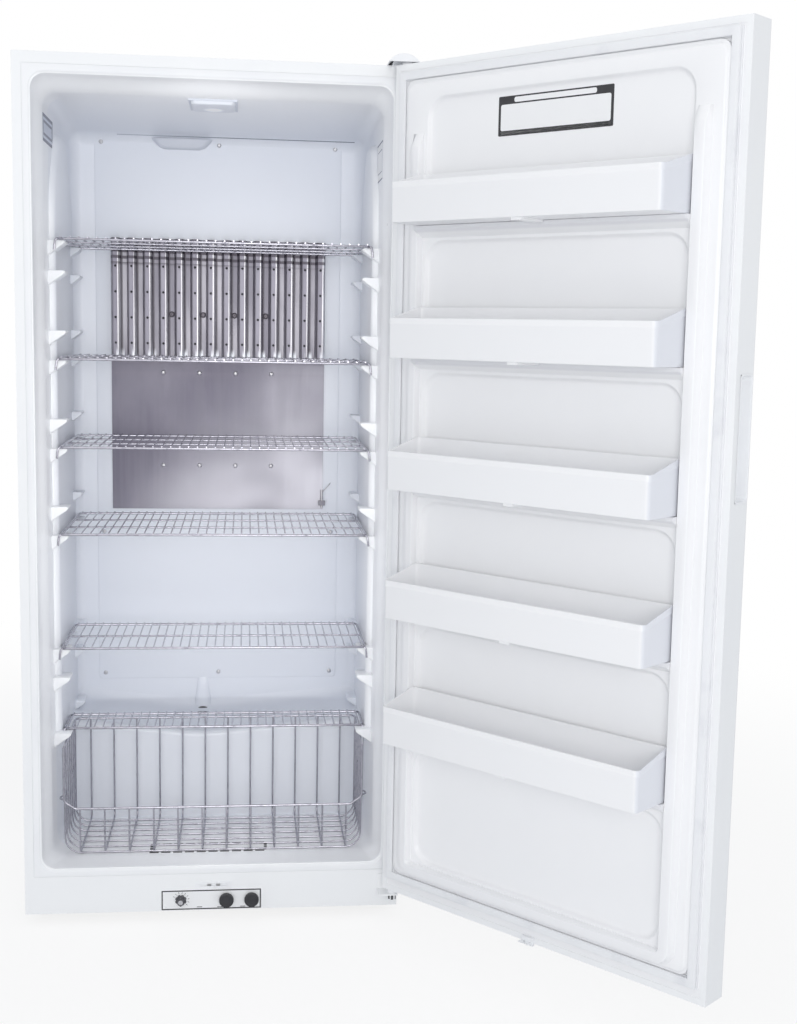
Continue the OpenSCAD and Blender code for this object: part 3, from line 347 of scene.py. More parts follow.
def bevelled(obj, width, segments=2, angle=30):
    tool = obj.modifiers.new("round_edges", "BEVEL")
    tool.width = width / 1000
    tool.segments = segments
    tool.limit_method = "ANGLE"
    tool.angle_limit = math.radians(angle)
    return settle(obj)


in_x, floor_z, ceil_z, ceil_back, back_y = 367, 130, 1836, 1815, 545
throat_x, throat_z, corner_r, sheet_wall = 382, 1864, 31, 0.0025
step_y, step_z, step_back, drain_x, drain_y, fall = 338, 385, 391, -40, 500, 35


def ceiling(y):
    return ceil_z - (ceil_z - ceil_back) * max(0, y - 250) / (back_y - 250)


rings = [section(*form) for form in (
    (5.5, 404, 107.5, 1888, 4), (3.1, 404, 107.5, 1888, 4),
    (3.1, throat_x + 2, floor_z - 2, throat_z + 2, corner_r + 1),
    (3.6, throat_x + 0.6, floor_z - 0.6, throat_z + 0.6, corner_r))]
for k in range(13):
    share = k / 12
    ease = share - 0.055 * math.sin(2 * math.pi * share)
    rings.append(section(5 + 65 * share, throat_x - (throat_x - in_x) * ease, floor_z,
                         throat_z - (throat_z - ceil_z) * ease, corner_r))
rings += [section(y, in_x, floor_z, ceiling(y), corner_r) for y in (90, 170, 250, 330, 420)]
for k in range(7):
    turn = math.radians(15 * k)
    inset = 30 * (1 - math.cos(turn))
    y = back_y - 30 + 30 * math.sin(turn)
    rings.append(section(y, in_x - inset, floor_z + inset, ceiling(y) - inset, max(corner_r - inset, 2)))
inside = rings[3:]
outside = [[p + Vector((math.copysign(sheet_wall, p.x), sheet_wall if i > len(inside) - 3 else 0.0,
                        sheet_wall if p.z > 1 else -sheet_wall)) for p in ring] for i, ring in enumerate(inside)]
tub = skin("liner_tub", list(reversed(outside)) + rings)
behind, above = at(0, step_back + 1, 0), at(0, 0, 300)
with reworked(tub.data) as work:
    for spot, normal in ((behind, (0, 1, 0)), (above, (0, 0, 1))):
        bmesh.ops.bisect_plane(work, geom=work.verts[:] + work.edges[:] + work.faces[:], plane_co=spot,
                               plane_no=normal)
    middles = [(f, f.calc_center_median()) for f in work.faces]
    bmesh.ops.delete(work, geom=[f for f, c in middles if c.y > behind.y and c.z < above.z], context="FACES")


def gutter(x):
    """Height of the step's top, which falls to the drain in a soft valley."""
    side = in_x + drain_x if x < drain_x else in_x - drain_x
    far = math.sqrt((x - drain_x) ** 2 + 26 ** 2) - 26
    return step_z - fall + fall * min(1, far / (side - 24))


ribs = []
for k in range(49):
    x = -in_x + 1 + k * (2 * in_x - 2) / 48
    top = gutter(x)
    form = [(step_y - 1, floor_z - 1), (step_y, floor_z + 3)]
    form += [(step_y + 16 - 16 * math.cos(math.radians(a)), top - 16 + 16 * math.sin(math.radians(a)))
             for a in range(0, 91, 15)]
    form += [(back_y - 40, top + 1), (back_y - 18, top + 4), (back_y - 5, top + 14), (back_y + 1, top + 30),
             (back_y + 1, 298), (step_back, 298), (step_back, floor_z - 1)]
    ribs.append([at(x, y, z) for y, z in form])
step = skin("liner_step", ribs)

pad_form = [(150, 375), (480, 375), (480, 1606), (450, 1676), (400, 1726), (380, 1774), (240, 1774), (220, 1726),
            (175, 1676), (150, 1606)]
soft_form = []
for i, (y, z) in enumerate(pad_form):
    reach = 4 if i < 2 else 22
    for other in (pad_form[i - 1], pad_form[(i + 1) % len(pad_form)]):
        share = min(reach / math.hypot(other[0] - y, other[1] - z), 0.45)
        soft_form.append((y + (other[0] - y) * share, z + (other[1] - z) * share))
middle_y, middle_z = 315, 1070
pads = [skin("liner_pad", [[at(side * (in_x - out), y - math.copysign(inset, y - middle_y),
                               z - math.copysign(inset, z - middle_z)) for y, z in soft_form]
                           for out, inset in ((-1.5, 0), (0.0, 0), (3.0, 1.0), (8.0, 3.0), (12.2, 7.5), (13.6, 13))])
        for side in (-1, 1)]

# one shelf support, then its four columns as instances
ledge = skin("ledge", [[Vector((x, y * 0.029 * taper, z)) for y in (-1, 1)] for x, z, taper in (
    (0.0015, 0.0, 1), (-0.033, 0.0, 1), (-0.0365, -0.001, 0.97), (-0.0365, -0.006, 0.97), (-0.033, -0.0085, 1),
    (0.0015, -0.034, 1))], loop=True, ring_open=True)
with reworked(ledge.data) as work:
    bmesh.ops.holes_fill(work, edges=work.edges, sides=0)
    bmesh.ops.recalc_face_normals(work, faces=work.faces)
bevelled(ledge, 2.2, 3)


class Grove(Net):
    """A tree of geometry nodes with named sizes, which ends in realised instances and their finish."""

    def __init__(self, name, **sizes):
        super().__init__(bpy.data.node_groups.new(name, "GeometryNodeTree"))
        face = self.tree.interface
        kinds = {int: "NodeSocketInt", float: "NodeSocketFloat"}
        face.new_socket("Geometry", in_out="INPUT", socket_type="NodeSocketGeometry")
        self.sizes = {}
        for key, value in sizes.items():
            kind = kinds.get(type(value), "NodeSocketObject" if value == "object" else "NodeSocketMaterial")
            socket = face.new_socket(key, in_out="INPUT", socket_type=kind)
            if type(value) in kinds:
                socket.default_value = value
            self.sizes[key] = socket.identifier
        face.new_socket("Geometry", in_out="OUTPUT", socket_type="NodeSocketGeometry")
        self.given = self.tree.nodes.new("NodeGroupInput")
        self.result = self.tree.nodes.new("NodeGroupOutput")

    def size(self, key):
        return Tone(self, self.given.outputs[key])

    def copies(self, points=None, piece=None, **values):
        """Instances on points: of the given piece and on the object's own vertices, if nothing else is named."""
        points = points or self.node("GeometryNodeMeshToPoints", {0: self.size("Geometry")})
        piece = piece or self.node("GeometryNodeObjectInfo", {0: self.size("piece")}, 4)
        return self.node("GeometryNodeInstanceOnPoints", {"Points": points, "Instance": piece, **values})

    def end(self, shape):
        whole = self.node("GeometryNodeRealizeInstances", {0: shape})
        if "finish" in self.sizes:
            whole = self.node("GeometryNodeSetMaterial", {0: whole, "Material": self.size("finish")})
        self.tree.links.new(whole.socket, self.result.inputs[0])

    def grow(self, obj, **sizes):
        tool = obj.modifiers.new(self.tree.name, "NODES")
        tool.node_group = self.tree
        for key, value in sizes.items():
            tool[self.sizes[key]] = value
        return settle(obj)


def dots(name, spots, edges=()):
    """An object of loose points in millimetres, or of lines between them."""
    mesh = bpy.data.meshes.new(name)
    mesh.from_pydata([at(*spot) for spot in spots], edges, [])
    return link(name, mesh)


stack = Grove("support_column", piece="object", turn=0.0, finish="material")
stack.end(stack.copies(Rotation=stack.node("ShaderNodeCombineXYZ", {2: stack.size("turn")})))

plastic = Finish("liner_plastic")
x, y, z = plastic.axes()
cloud = plastic.noise(9)
wall = x * x
# painted shade: the liner turns darker and bluer from the mouth towards the back of the box
hue = plastic.mix(plastic.band(y, -0.32, 0.23), (0.95, 0.955, 0.965), (0.83, 0.86, 0.925))
# painted shade on the side walls behind the mouth, much stronger on the left wall than on the right
left_wall_shade_share = plastic.band(x, -0.1, 0.1, 0.6, 0.06)
hue = plastic.mix(plastic.band(wall, 0.112, 0.122) * plastic.band(y, -0.175, -0.16) * left_wall_shade_share, hue,
                  (0.84, 0.865, 0.925))
# painted shade: a dark band across the front of the step at the back of the floor
step_front_shade = plastic.band(z, 0.376, 0.386, 1.0, 0.0) * plastic.band(y, 0.012, 0.018)
hue = plastic.mix(step_front_shade * plastic.band(wall, 0.1215, 0.1235, 0.6, 0.0), hue, (0.62, 0.645, 0.71))
liner_finish = plastic.close(plastic.mix(cloud * 0.2, hue, (0.84, 0.87, 0.92)), 0.26 + cloud * 0.08,
                             plastic.grain(0.003, 3.5, 1.0), Specular_IOR_Level=0.5)

support_levels = [407 + 66 * level for level in (0, 2, 3, 7, 8, 10, 11, 13, 14, 16, 17)]
columns = [stack.grow(dots("supports", [(side * in_x, y, z) for z in support_levels]), piece=ledge, turn=turn,
                      finish=liner_finish) for side, turn in ((-1, math.pi), (1, 0.0)) for y in (157, 451)]
bpy.data.objects.remove(ledge)
fit(join("liner_walls", [tub, step] + pads + columns), "cabinet", liner_finish, "white_liner", "liner", angle=40)


# Frame of the opening: a moulded strip that snaps over the liner's edge and covers the joint with the steel. Its
# inner edge is rounded, and the door's gasket closes on it.
def moulded(name, colour, dark, rough=0.34):
    """Moulded plastic: a soft sheen with faint flow marks and fine grain."""
    made = Finish(name)
    tint = made.mix(made.band(made.noise(7), 0.35, 0.75), colour, dark)
    return made.close(tint, rough + made.noise(35, 4.0) * 0.08, made.grain(0.00004, 520, 2.0),
                      Specular_IOR_Level=0.45)


trim_plastic = moulded("trim_plastic", (0.925, 0.935, 0.95), (0.89, 0.90, 0.925))
strip = skin("opening_frame", [section(*form) for form in (
    (1.3, 408, 103.5, 1892, 4), (2.9, 408, 103.5, 1892, 4), (2.9, 385.5, 126.5, 1867.5, 31),
    (1.2, 385.2, 126.8, 1867.2, 31), (0.35, 386.4, 125.6, 1868.4, 32), (0.05, 388.5, 123.5, 1870.5, 34),
    (0.05, 397.5, 114.0, 1881.5, 5), (0.5, 399.6, 111.9, 1883.6, 3), (1.3, 399.8, 111.7, 1883.8, 3))], loop=True)
fit(strip, "cabinet", trim_plastic, "white_plastic", "throat_frame")


# Back cover: a flat white sheet screwed over the back of the liner. It hides the pipes' entries, and the cold plate
# hangs on it. A moulded shield covers the plate's upper edge, in a blue-grey of painted shade. A strip painted dark
# grey runs along the ceiling's back edge as the painted shadow of the joint there.
def flecked(name, fleck, colours, rough, grain, **fixed):
    """A finish of two colours mixed by one noise, with a fine grain."""
    made = Finish(name)
    return made.close(made.mix(made.noise(*fleck), *colours), rough, made.grain(*grain), **fixed)


cover = skin("back_sheet", [section(y, 306 - i, 434 + i, 1812 - i, 8, 6)
                            for y, i in ((544.9, 0), (543.6, 0), (543.1, 0.6), (543.02, 1.6))])
fit(cover, "cabinet", liner_finish, "white_plastic", "back_cover")
# painted shade: the sensor shield and the lamp's base get a blue-grey darker than the liner, for the shade under the
# ceiling
shaded = flecked("shaded_plastic", (9,), ((0.70, 0.73, 0.80), (0.66, 0.69, 0.76)), 0.4, (0.00003, 300))
shield_x, shield_top = -91, 1806
shield = skin("sensor_shield", [[at(x * s + shield_x, y, shield_top + (z - shield_top) * s) for x, z in (
    (-76, 1806), (-64, 1793), (-55, 1785.5), (-42, 1781), (42, 1781), (55, 1785.5), (64, 1793), (76, 1806))]
    for y, s in ((544.5, 1.0), (539, 1.0), (534, 0.97), (530, 0.9), (527.5, 0.8))])
fit(shield, "cabinet", shaded, "white_plastic")
# painted shadow: the strip along the ceiling's back edge is dark grey, darker towards the right
joint_shadow_finish = Finish("joint_shade")
painted_joint_shadow = joint_shadow_finish.close(joint_shadow_finish.mix(joint_shadow_finish.band(joint_shadow_finish.axes()[0], -0.30, 0.1), (0.52, 0.55, 0.62), (0.20, 0.22, 0.28)),
                        0.5, joint_shadow_finish.grain(0.00003, 300))
lip = skin("ceiling_joint", [upright(y, (-250, 338), (1810.9 + d, 1822), 0.5, 2)
                             for y, d in ((535, 0), (530.8, 0.2), (528.8, 1.6), (527, 3.2))])
fit(lip, "cabinet", painted_joint_shadow, "white_plastic")


# Cold plate: mill-finish aluminium with long vertical rolling marks and dull patches. Its upper half carries a
# folded fin sheet with rows of small holes. Light and shade are painted into both: a highlight and the shelves'
# shadows on the plate, shade in the folds, and highlights and reflections on the fins.
def mill(name, light, dark, stain):
    """A finish with its rolled tint, its rolling marks and its three axes."""
    made = Finish(name)
    roll = made.noise(60, 4.0, (1, 1, 0.05))
    patch = made.noise(3.2, 4.0, (1.6, 1, 0.8))
    grey = made.mix(made.band(roll, 0.3, 0.72), dark, light)
    return made, made.mix(made.band(patch, 0.42, 0.70), grey, stain), roll, *made.axes()


cold, tint, roll, x, y, z = mill("cold_plate", (0.18, 0.172, 0.215), (0.145, 0.137, 0.18), (0.225, 0.215, 0.26))
# painted highlight: the plate lightens towards its lower right, in uneven patches
sheen = cold.band(x + z * -0.9, -1.15, -0.70)
highlight_patch = cold.band(cold.noise(3.1, 2.0, (0.8, 1, 1.2)), 0.42, 0.66)
tint = cold.mix(sheen * (highlight_patch * 0.55 + 0.3), tint, (0.66, 0.655, 0.71))
# painted shadows of the shelves: dark wavy bands just under the two shelf levels
shelf_shade = cold.band(cold.math("SINE", z * 165 + cold.noise(4) * 2), -0.2, 0.8)
near_shelf = cold.band(z, 1.205, 1.262) + cold.band(z, 1.03, 1.06) * cold.band(z, 1.062, 1.055, 0.0, 1.0)
tint = cold.mix(near_shelf * shelf_shade * 0.45, tint, (0.24, 0.22, 0.26))
# painted shade: the plate is nearly black above 1262 mm, behind the fin sheet
tint = cold.mix(cold.band(z, 1.262, 1.266), tint, (0.05, 0.045, 0.055))
dress(cold.close(tint, 0.42 + roll * 0.12, cold.bump(0.0001, roll), Metallic=0.55), "evaporator_plate")

fin_width, folds = 510, 13
fold, tint, roll, x, y, z = mill("fin_sheet", (0.345, 0.33, 0.385), (0.255, 0.245, 0.295), (0.295, 0.285, 0.335))
phase = fold.math("FRACT", x / round(fin_width / folds / 1000, 7) + 20.0)
strength = fold.noise(16, 2.0, (1, 1, 0.25))
# painted shade and reflection: the deep parts of the folds get their own grey, uneven by a noise between dark and
# mid grey
valley = fold.mix(fold.band(strength, 0.35, 0.65), (0.25, 0.24, 0.285), (0.44, 0.43, 0.475))
tint = fold.mix(fold.band(y, 0.203, 0.212), tint, valley)
# painted shade: thin dark lines in the creases of each fold
line = fold.band(phase, 0.80, 0.84) * fold.band(phase, 0.93, 0.89, 0.0, 1.0)
line = line + fold.band(phase, 0.27, 0.30) * fold.band(phase, 0.38, 0.345, 0.0, 1.0) * 0.8
tint = fold.mix(line * 0.85, tint, (0.10, 0.09, 0.11))
# painted highlight along the ridge of each fold
ridge_highlight = fold.band(phase, 0.605, 0.64) * fold.band(phase, 0.80, 0.74, 0.0, 1.0)
tint = fold.mix(ridge_highlight * fold.band(strength, 0.35, 0.6, 0.45, 1.0), tint, (0.97, 0.96, 0.98))
# painted reflection of the white shelf below: pale patches on the lower ends of the folds
end_reflection = fold.band(z, 1.292, 1.272, 0.0, 1.0) * fold.band(phase, 0.46, 0.58)
end_reflection = end_reflection * fold.band(fold.noise(21, 1.0, (1, 1, 0.1)), 0.36, 0.44)
tint = fold.mix(end_reflection * 0.95, tint, (0.90, 0.92, 0.97))
# painted reflection of the shelf wires: dark wavy marks near the top of the fins
mirrored_wires = fold.band(fold.math("SINE", z * 400 + x * 4), -0.3, 0.5) * fold.band(z, 1.492, 1.504)
tint = fold.mix(mirrored_wires * 0.85, tint, (0.07, 0.06, 0.08))
dress(fold.close(tint, 0.40 + roll * 0.1, fold.bump(0.0001, roll), Metallic=0.45), "evaporator_fins")


# Screws with cross recesses, which hold the plate, the fins and the back cover. The four in the fins are larger and
# dark.
def spokes(n, start=0):
    """Directions round a circle, as pairs."""
    return [(math.cos(a), math.sin(a)) for a in [math.radians(start + 360 * k / n) for k in range(n)]]


screw = skin("screw", [[Vector((r * c, -h, r * s)) for c, s in spokes(16)] for h, r in (
    (-0.0002, 0.0056), (0.0006, 0.0056), (0.0018, 0.0049), (0.0028, 0.0032), (0.0031, 0.0014), (0.0022, 0.0008))])
with reworked(screw.data) as work:
    for turn in (0, 90):
        cross = bmesh.ops.create_cube(work, size=1, matrix=Matrix.Translation((0, -0.0029, 0)) @ Matrix.Rotation(
            math.radians(turn), 4, "Y") @ Matrix.Diagonal((0.0052, 0.0007, 0.0011, 1)))
        for corner in cross["verts"]:
            for face in corner.link_faces:
                face.material_index = 1

steel = Finish("bright_screw")
screw_metal = steel.close(steel.mix(steel.noise(90), (0.72, 0.72, 0.74), (0.50, 0.49, 0.51)),
                          0.26 + steel.noise(200, 2.0) * 0.2, steel.grain(0.00004, 500, 2.0), Metallic=0.95)
# painted shade: the cross in each screw head is near black for the shade in its recess
recess_dark = flecked("recess_shade", (300, 2.0), ((0.10, 0.10, 0.11), (0.18, 0.17, 0.18)), 0.6, (0.00003, 400),
                      Metallic=0.4)
dark_fin_screw = flecked("browned_screw", (70,), ((0.13, 0.12, 0.14), (0.24, 0.22, 0.25)), 0.45, (0.00004, 450),
                  Metallic=0.5)
screw.data.materials.append(screw_metal)
screw.data.materials.append(recess_dark)

scatter = Grove("screws", piece="object", scale=1.0)
scatter.end(scatter.copies(Scale=scatter.size("scale"), Rotation=scatter.node("FunctionNodeRandomValue", {
    0: (0, -0.8, 0), 1: (0, 0.8, 0), "Seed": 4}, data_type="FLOAT_VECTOR")))


def screws(name, spots, metal, scale=1.0):
    """Screws at points in millimetres, each turned at random."""
    made = scatter.grow(dots(name, spots), piece=screw, scale=scale)
    made.data.materials.clear()
    for material in (metal, recess_dark):
        made.data.materials.append(material)
    return made


inner = [(k * 91 - 3, 540, 881 + z) for k in (-1.5, -0.5, 0.5, 1.5) for z in (112, 348)]
inner += [(x, 543, z) for x in (-290, 0, 290) for z in (450, 1795)] + [(x, 543, 821) for x in (-290, 290)]
fit(screws("inner_screws", inner, screw_metal), "cabinet", None, "screws", "interior_screws")
in_fins = [(k * fin_width / folds, 538.5, 1375) for k in (-3, -1, 1, 3)]
fit(screws("fin_screws", in_fins, dark_fin_screw, 1.35), "cabinet", None, "screws")


# Tubes: the cold pipes are steel, painted black. The sensing tube is thin tinned copper, and its bulb is clipped to
# the cold plate. All tubes and rods are drawn by one tree, which rounds a line's corners and gives it a round wall.
tube = Grove("bent_tube", radius=0.005, bend=0.02, finish="material")
line = tube.node("GeometryNodeFilletCurve", {
    "Curve": tube.node("GeometryNodeMeshToCurve", {0: tube.size("Geometry")}), "Count": 5,
    "Radius": tube.size("bend"), "Limit Radius": True}, mode="POLY")
tube.end(tube.node("GeometryNodeCurveToMesh", {
    "Curve": line, "Profile Curve": tube.node("GeometryNodeCurvePrimitiveCircle", {
        "Resolution": 12, "Radius": tube.size("radius")}), "Fill Caps": True}))


def tubes(name, lines, radius, bend, material, closed=False):
    """Bent tubes or rods along lines of points in millimetres."""
    spots, edges = [], []
    for run in lines:
        start = len(spots)
        spots += run
        edges += [(start + i, start + i + 1) for i in range(len(run) - 1)]
        if closed:
            edges.append((len(spots) - 1, start))
    return tube.grow(dots(name, spots, edges), radius=radius / 1000, bend=bend / 1000, finish=material)


painted = Finish("pipe_paint")
grime = painted.band(painted.noise(24, 5.0), 0.5, 0.8)
pipe_paint = painted.close(painted.mix(grime * 0.6, (0.028, 0.029, 0.032), (0.12, 0.115, 0.105)),
                           0.38 + grime * 0.3, painted.grain(0.0001, 180), Specular_IOR_Level=0.4)
boiler_x, boiler_y = 200, 717.3
cold_pipes = tubes("cold_pipes", [
    [(-270, boiler_y, 1640), (-305, boiler_y, 1640), (-305, boiler_y, 1450), (-150.47, boiler_y, 1450),
     (-150.47, 543, 1450)],
    [(-242.22, 543, 1330), (-242.22, 692.3, 1330), (-242.22, 692.3, 780), (50, 692.3, 780), (50, 692.3, 708)]],
    8, 24, pipe_paint)
fit(cold_pipes, "cabinet", None, "black_pipe", "evaporator_pipes")
tin = Finish("tinned_tube")
tinned = tin.close(tin.mix(tin.noise(40, 4.0), (0.62, 0.61, 0.63), (0.45, 0.44, 0.46)), 0.32 + tin.noise(80) * 0.15,
                   tin.grain(0.00003, 300, 2.0), Metallic=0.85)
sensor = tubes("sensing_tube", [
    [(265, 536, 902), (265, 536, 924), (287, 533, 949), (287, 655, 949), (287, 655, 45), (287, 120, 45),
     (-62, 120, 45), (-62, 54.5, 44)]], 1.2, 9, tinned)
bulb = tubes("sensing_bulb", [[(265, 536, 886), (265, 536, 932)]], 3.5, 1, tinned)
fit(join("sensing_line", [sensor, bulb]), "cabinet", tinned, "copper", "capillary")
dress(flecked("clip_metal", (60,), ((0.30, 0.295, 0.33), (0.20, 0.195, 0.225)), 0.5, (0.00004, 400), Metallic=0.5),
      "bulb_clip")


# Drain and drip tray: melt water runs from the gutter's lowest point under a moulded spout. A dark disc sits in the
# drain hole, and a dark oval at the spout's foot is painted shade of its opening. A soft grey tube leads the water
# down to a shallow tray, where the warm air of the cooling unit dries it.
def turned(name, form, x, y=None, z=None, n=48, start=0, loop=False, flat=1):
    """A piece turned round an upright line, or round a line along Y if its height is given."""
    if z is None:
        rings = [[at(x + r * c, y + r * s, h) for c, s in spokes(n, start)] for h, r in form]
    else:
        rings = [[at(x + r * c, h, z + r * flat * s) for c, s in spokes(n, start)] for h, r in form]
    return skin(name, rings, loop)


black_ink_and_shade = flecked("black_print", (80,), ((0.02, 0.02, 0.025), (0.04, 0.04, 0.045)), 0.35, (0.00002, 500))
grey_plastic = moulded("grey_plastic", (0.20, 0.20, 0.21), (0.15, 0.15, 0.16), 0.5)
dress(grey_plastic, "drain_tube", "drip_tray")
mouth = turned("drain_mouth", ((350.2, 14), (352.2, 13.6), (352.4, 12.6), (351.8, 11.8), (351.4, 6), (351.3, 0.3),
                               (349.0, 0.3), (348.6, 12)), drain_x, drain_y, n=24, loop=True)
outlet = turned("drain_outlet", ((538, 14), (530.6, 14), (529.8, 12), (529.4, 0.3), (538, 0.3)), drain_x, z=354.5,
                n=24, loop=True, flat=0.36)
# the dark oval at the spout's foot is painted shade; the dark disc sits in the gutter's drain hole
fit(join("drain_openings", [mouth, outlet]), "cabinet", black_ink_and_shade, "dark_plastic")
spout = skin("drain_spout", [[at(drain_x + w * c, 544.5 - d * s, z) for c, s in spokes(20)[:11]] for w, d, z in (
    (11, 1.2, 436), (13, 3.5, 432), (15, 4.5, 414), (19, 6.5, 388), (23, 9.5, 366), (25, 11, 356), (25, 11, 346))])
fit(spout, "cabinet", liner_finish, "white_liner")


# Lamp: a flat white base in the ceiling, coloured in the shield's blue-grey of painted shade, with a milky cover
# over a small bulb. A faint glowing spot is painted in the middle of the cover.
# the base takes the shield's painted shade
dress(shaded, "lamp_base")
milk = Finish("milky_cover")
x, y, _ = milk.axes()
off_x, off_y = x + 0.005, y + 0.16
# painted glow: a faint emission spot in the middle of the cover
glow_mask = milk.band(off_x * off_x * 1.6 + off_y * off_y, 0.0001, 0.0011, 1.0, 0.0)
lens_finish = milk.close(milk.mix(milk.noise(18), (0.80, 0.82, 0.88), (0.76, 0.79, 0.85)),
                         0.36 + milk.noise(60) * 0.1, milk.bump(0.0002, milk.math("SINE", y * 1500)),
                         Specular_IOR_Level=0.5, Emission_Strength=0.2,
                         Emission_Color=milk.mix(glow_mask, (0.0, 0.0, 0.0), (1.0, 0.98, 0.93)))
cover = skin("lamp_cover", [[at(x, y, z) for x, y in oblong((-54 + i, 44 - i), (84 + i, 200 - i), 12)]
                            for z, i in ((1832, 0), (1828.5, 0.5), (1826, 2), (1824.6, 5), (1824.1, 9))])
fit(cover, "cabinet", lens_finish, "lens", "lamp_lens")


# Gas controls behind the lower panel: the thermostat, the safety valve and the spark igniter, on square flanges.
# Gas comes in from the back, passes the valve and the thermostat, and goes back under the floor to the burner.
def worn(name, spots, edges, colours, rough, more, grain, **fixed):
    """A finish with spots, which have another colour and are duller."""
    made = Finish(name)
    spot = made.band(made.noise(*spots), *edges)
    return made.close(made.mix(spot, *colours), rough + spot * more, made.grain(*grain), **fixed)


copper = worn("copper_tube", (40, 5.0), (0.4, 0.75), ((0.80, 0.43, 0.27), (0.44, 0.23, 0.15)), 0.26, 0.25,
              (0.00003, 300, 2.0), Metallic=0.95)
brass = worn("brass_fitting", (60, 4.0), (0.4, 0.75), ((0.80, 0.62, 0.30), (0.50, 0.36, 0.16)), 0.28, 0.2,
             (0.00004, 260), Metallic=0.95)
black_plastic = moulded("black_plastic", (0.022, 0.022, 0.026), (0.035, 0.035, 0.04), 0.42)
dress(zinc_plate, "thermostat_body")
dress(brass, "gas_valve")
dress(black_plastic, "piezo_igniter")
inlet_x, line_z, dial_z = 330, 58, 50
gas_line = tubes("gas_tubes", [
    [(inlet_x, 632, line_z), (inlet_x, 118.2, line_z), (29, 118.2, line_z), (29, 98.2, dial_z), (29, 78.2, dial_z)],
    [(14, 42.2, dial_z), (-52, 42.2, dial_z)],
    [(-84, 54.2, dial_z), (-84, 74.2, dial_z), (-84, 154.2, line_z), (boiler_x, 154.2, line_z),
     (boiler_x, boiler_y, line_z), (boiler_x, boiler_y, 90)]], 5, 18, copper)
fit(gas_line, "cabinet", None, "copper", "gas_line")
inlet = turned("inlet_fitting", ((633, 8.9), (652, 8.9), (652.05, 3.5), (633, 3.5)), inlet_x, z=line_z, loop=True)
nut = turned("inlet_nut", ((652, 12.6), (652.9, 14), (658.1, 14), (659, 12.6)), inlet_x, z=line_z, n=6)
thread = turned("inlet_thread", [(659 + k * 0.5, (7.94 if k < 30 else 7.2) - 0.45 * (k % 2)) for k in range(33)] + [
    (675, 3.5), (660, 3.5)], inlet_x, z=line_z)
fit(join("gas_inlet_fitting", [inlet, nut, thread]), "cabinet", brass, "brass", "gas_inlet", angle=25)


# Control plate: a printed aluminium plate on the lower panel, white with a black border and a ring of ticks round
# the thermostat. It carries no words.
def printed_plate(name, frame_of, thick, layers, materials):
    """A thin plate whose printed fields are set into its face. Each layer gives an inset and its material."""
    (a0, a1), (b0, b1), place = frame_of
    rings = [[place(a, b, t) for a, b in oblong((a0 + i, a1 - i), (b0 + i, b1 - i), max(2.5 - i, 0.6), 4)]
             for i, t in [(0, 0), (0, thick * 0.7), (0.3, thick)] + [(inset, thick) for inset, _ in layers]]
    made = skin(name, rings)
    for material in materials:
        made.data.materials.append(material)
    origin = place(0, 0, 0)
    along, across = place(1, 0, 0) - origin, place(0, 1, 0) - origin
    for polygon in made.data.polygons:
        corners = [made.data.vertices[v].co - origin for v in polygon.vertices]
        places = [(p.dot(along) / along.length_squared, p.dot(across) / across.length_squared) for p in corners]
        reach = min(min(a - a0, a1 - a, b - b0, b1 - b) for a, b in places)
        for inset, index in layers:
            if reach >= inset - 0.01:
                polygon.material_index = index
    return made


white_ink = flecked("white_print", (12,), ((0.93, 0.935, 0.94), (0.90, 0.905, 0.92)), 0.3, (0.00002, 500))
face_plate = printed_plate("control_face", ((-119, 109), (25.5, 74.5), lambda a, b, t: at(a, -t, b)), 1.5,
                           [(1.6, 1), (4.4, 0)], [white_ink, black_ink_and_shade])
fit(face_plate, "cabinet", None, "control_face", "control_plate")
knob_x, print_y = -74, -1.45
tick = skin("tick", [[Vector((x, -h, z)) for x, z in ((-0.00045, 0.0155), (0.00045, 0.0155), (0.00045, 0.0195),
                                                     (-0.00045, 0.0195))] for h in (0.0, 0.00015)])
dial = Grove("dial_ticks", piece="object", count=9, finish="material")
index = dial.node("GeometryNodeInputIndex")
dial.end(dial.copies(dial.node("GeometryNodeMeshLine", {"Count": dial.size("count"), "Offset": (0, 0, 0)}),
                     Rotation=dial.node("ShaderNodeCombineXYZ", {1: index * 0.42 - 1.1})))
ticks = dial.grow(dots("ticks", []), piece=tick, count=9, finish=black_ink_and_shade)
ticks.data.transform(Matrix.Translation(at(knob_x, print_y, dial_z)))
bpy.data.objects.remove(tick)
dashes = [skin("dash", [upright(print_y - h, (a, a + 12), (b, b + 1.6), 0.6, 2) for h in (0, 0.15)])
          for a, b in ((-38, 32), (8, 31), (60, 31))]
fit(join("panel_marks", [ticks] + dashes), "cabinet", black_ink_and_shade, "control_face")


# Knob and buttons: a small fluted knob of grey plastic with a metal cap turns the thermostat. Two round black
# buttons, slightly domed, hold the gas valve open and strike the spark.
knob_grey = moulded("knob_plastic", (0.085, 0.085, 0.095), (0.13, 0.13, 0.14), 0.36)
knob = []
for y, r in ((-2.1, 10), (-2.1, 12.8), (-3.2, 13), (-4.5, 12.6), (-6.0, 9.0), (-9, 8.6), (-16.5, 8.0), (-17.6, 7.2),
             (-18.0, 5.6)):
    # eight flutes, each over five of twelve directions
    radii = [r - 1.6 if r > 8 and (k + 2) % 12 < 5 else r for k in range(96)]
    knob.append([at(knob_x + r * c, y, dial_z + r * s) for r, (c, s) in zip(radii, spokes(96))])
knob = skin("knob_skirt", knob)
wing = skin("knob_wing", [[at(knob_x + x * s, y, dial_z + z * s) for x, z in oblong((-3.2, 3.2), (-11, 11), 3, 4)]
                          for y, s in ((-4, 1.0), (-12.5, 0.97), (-15.4, 0.9), (-16.2, 0.78))])
fit(join("knob_turned", [knob, wing]), "thermostat_knob_body", knob_grey, "knob", "thermostat_knob", angle=28)
cap = turned("knob_cap", ((-17.9, 5.5), (-18.08, 5.3), (-18.1, 4.9), (-18.1, 0.6)), knob_x, z=dial_z)
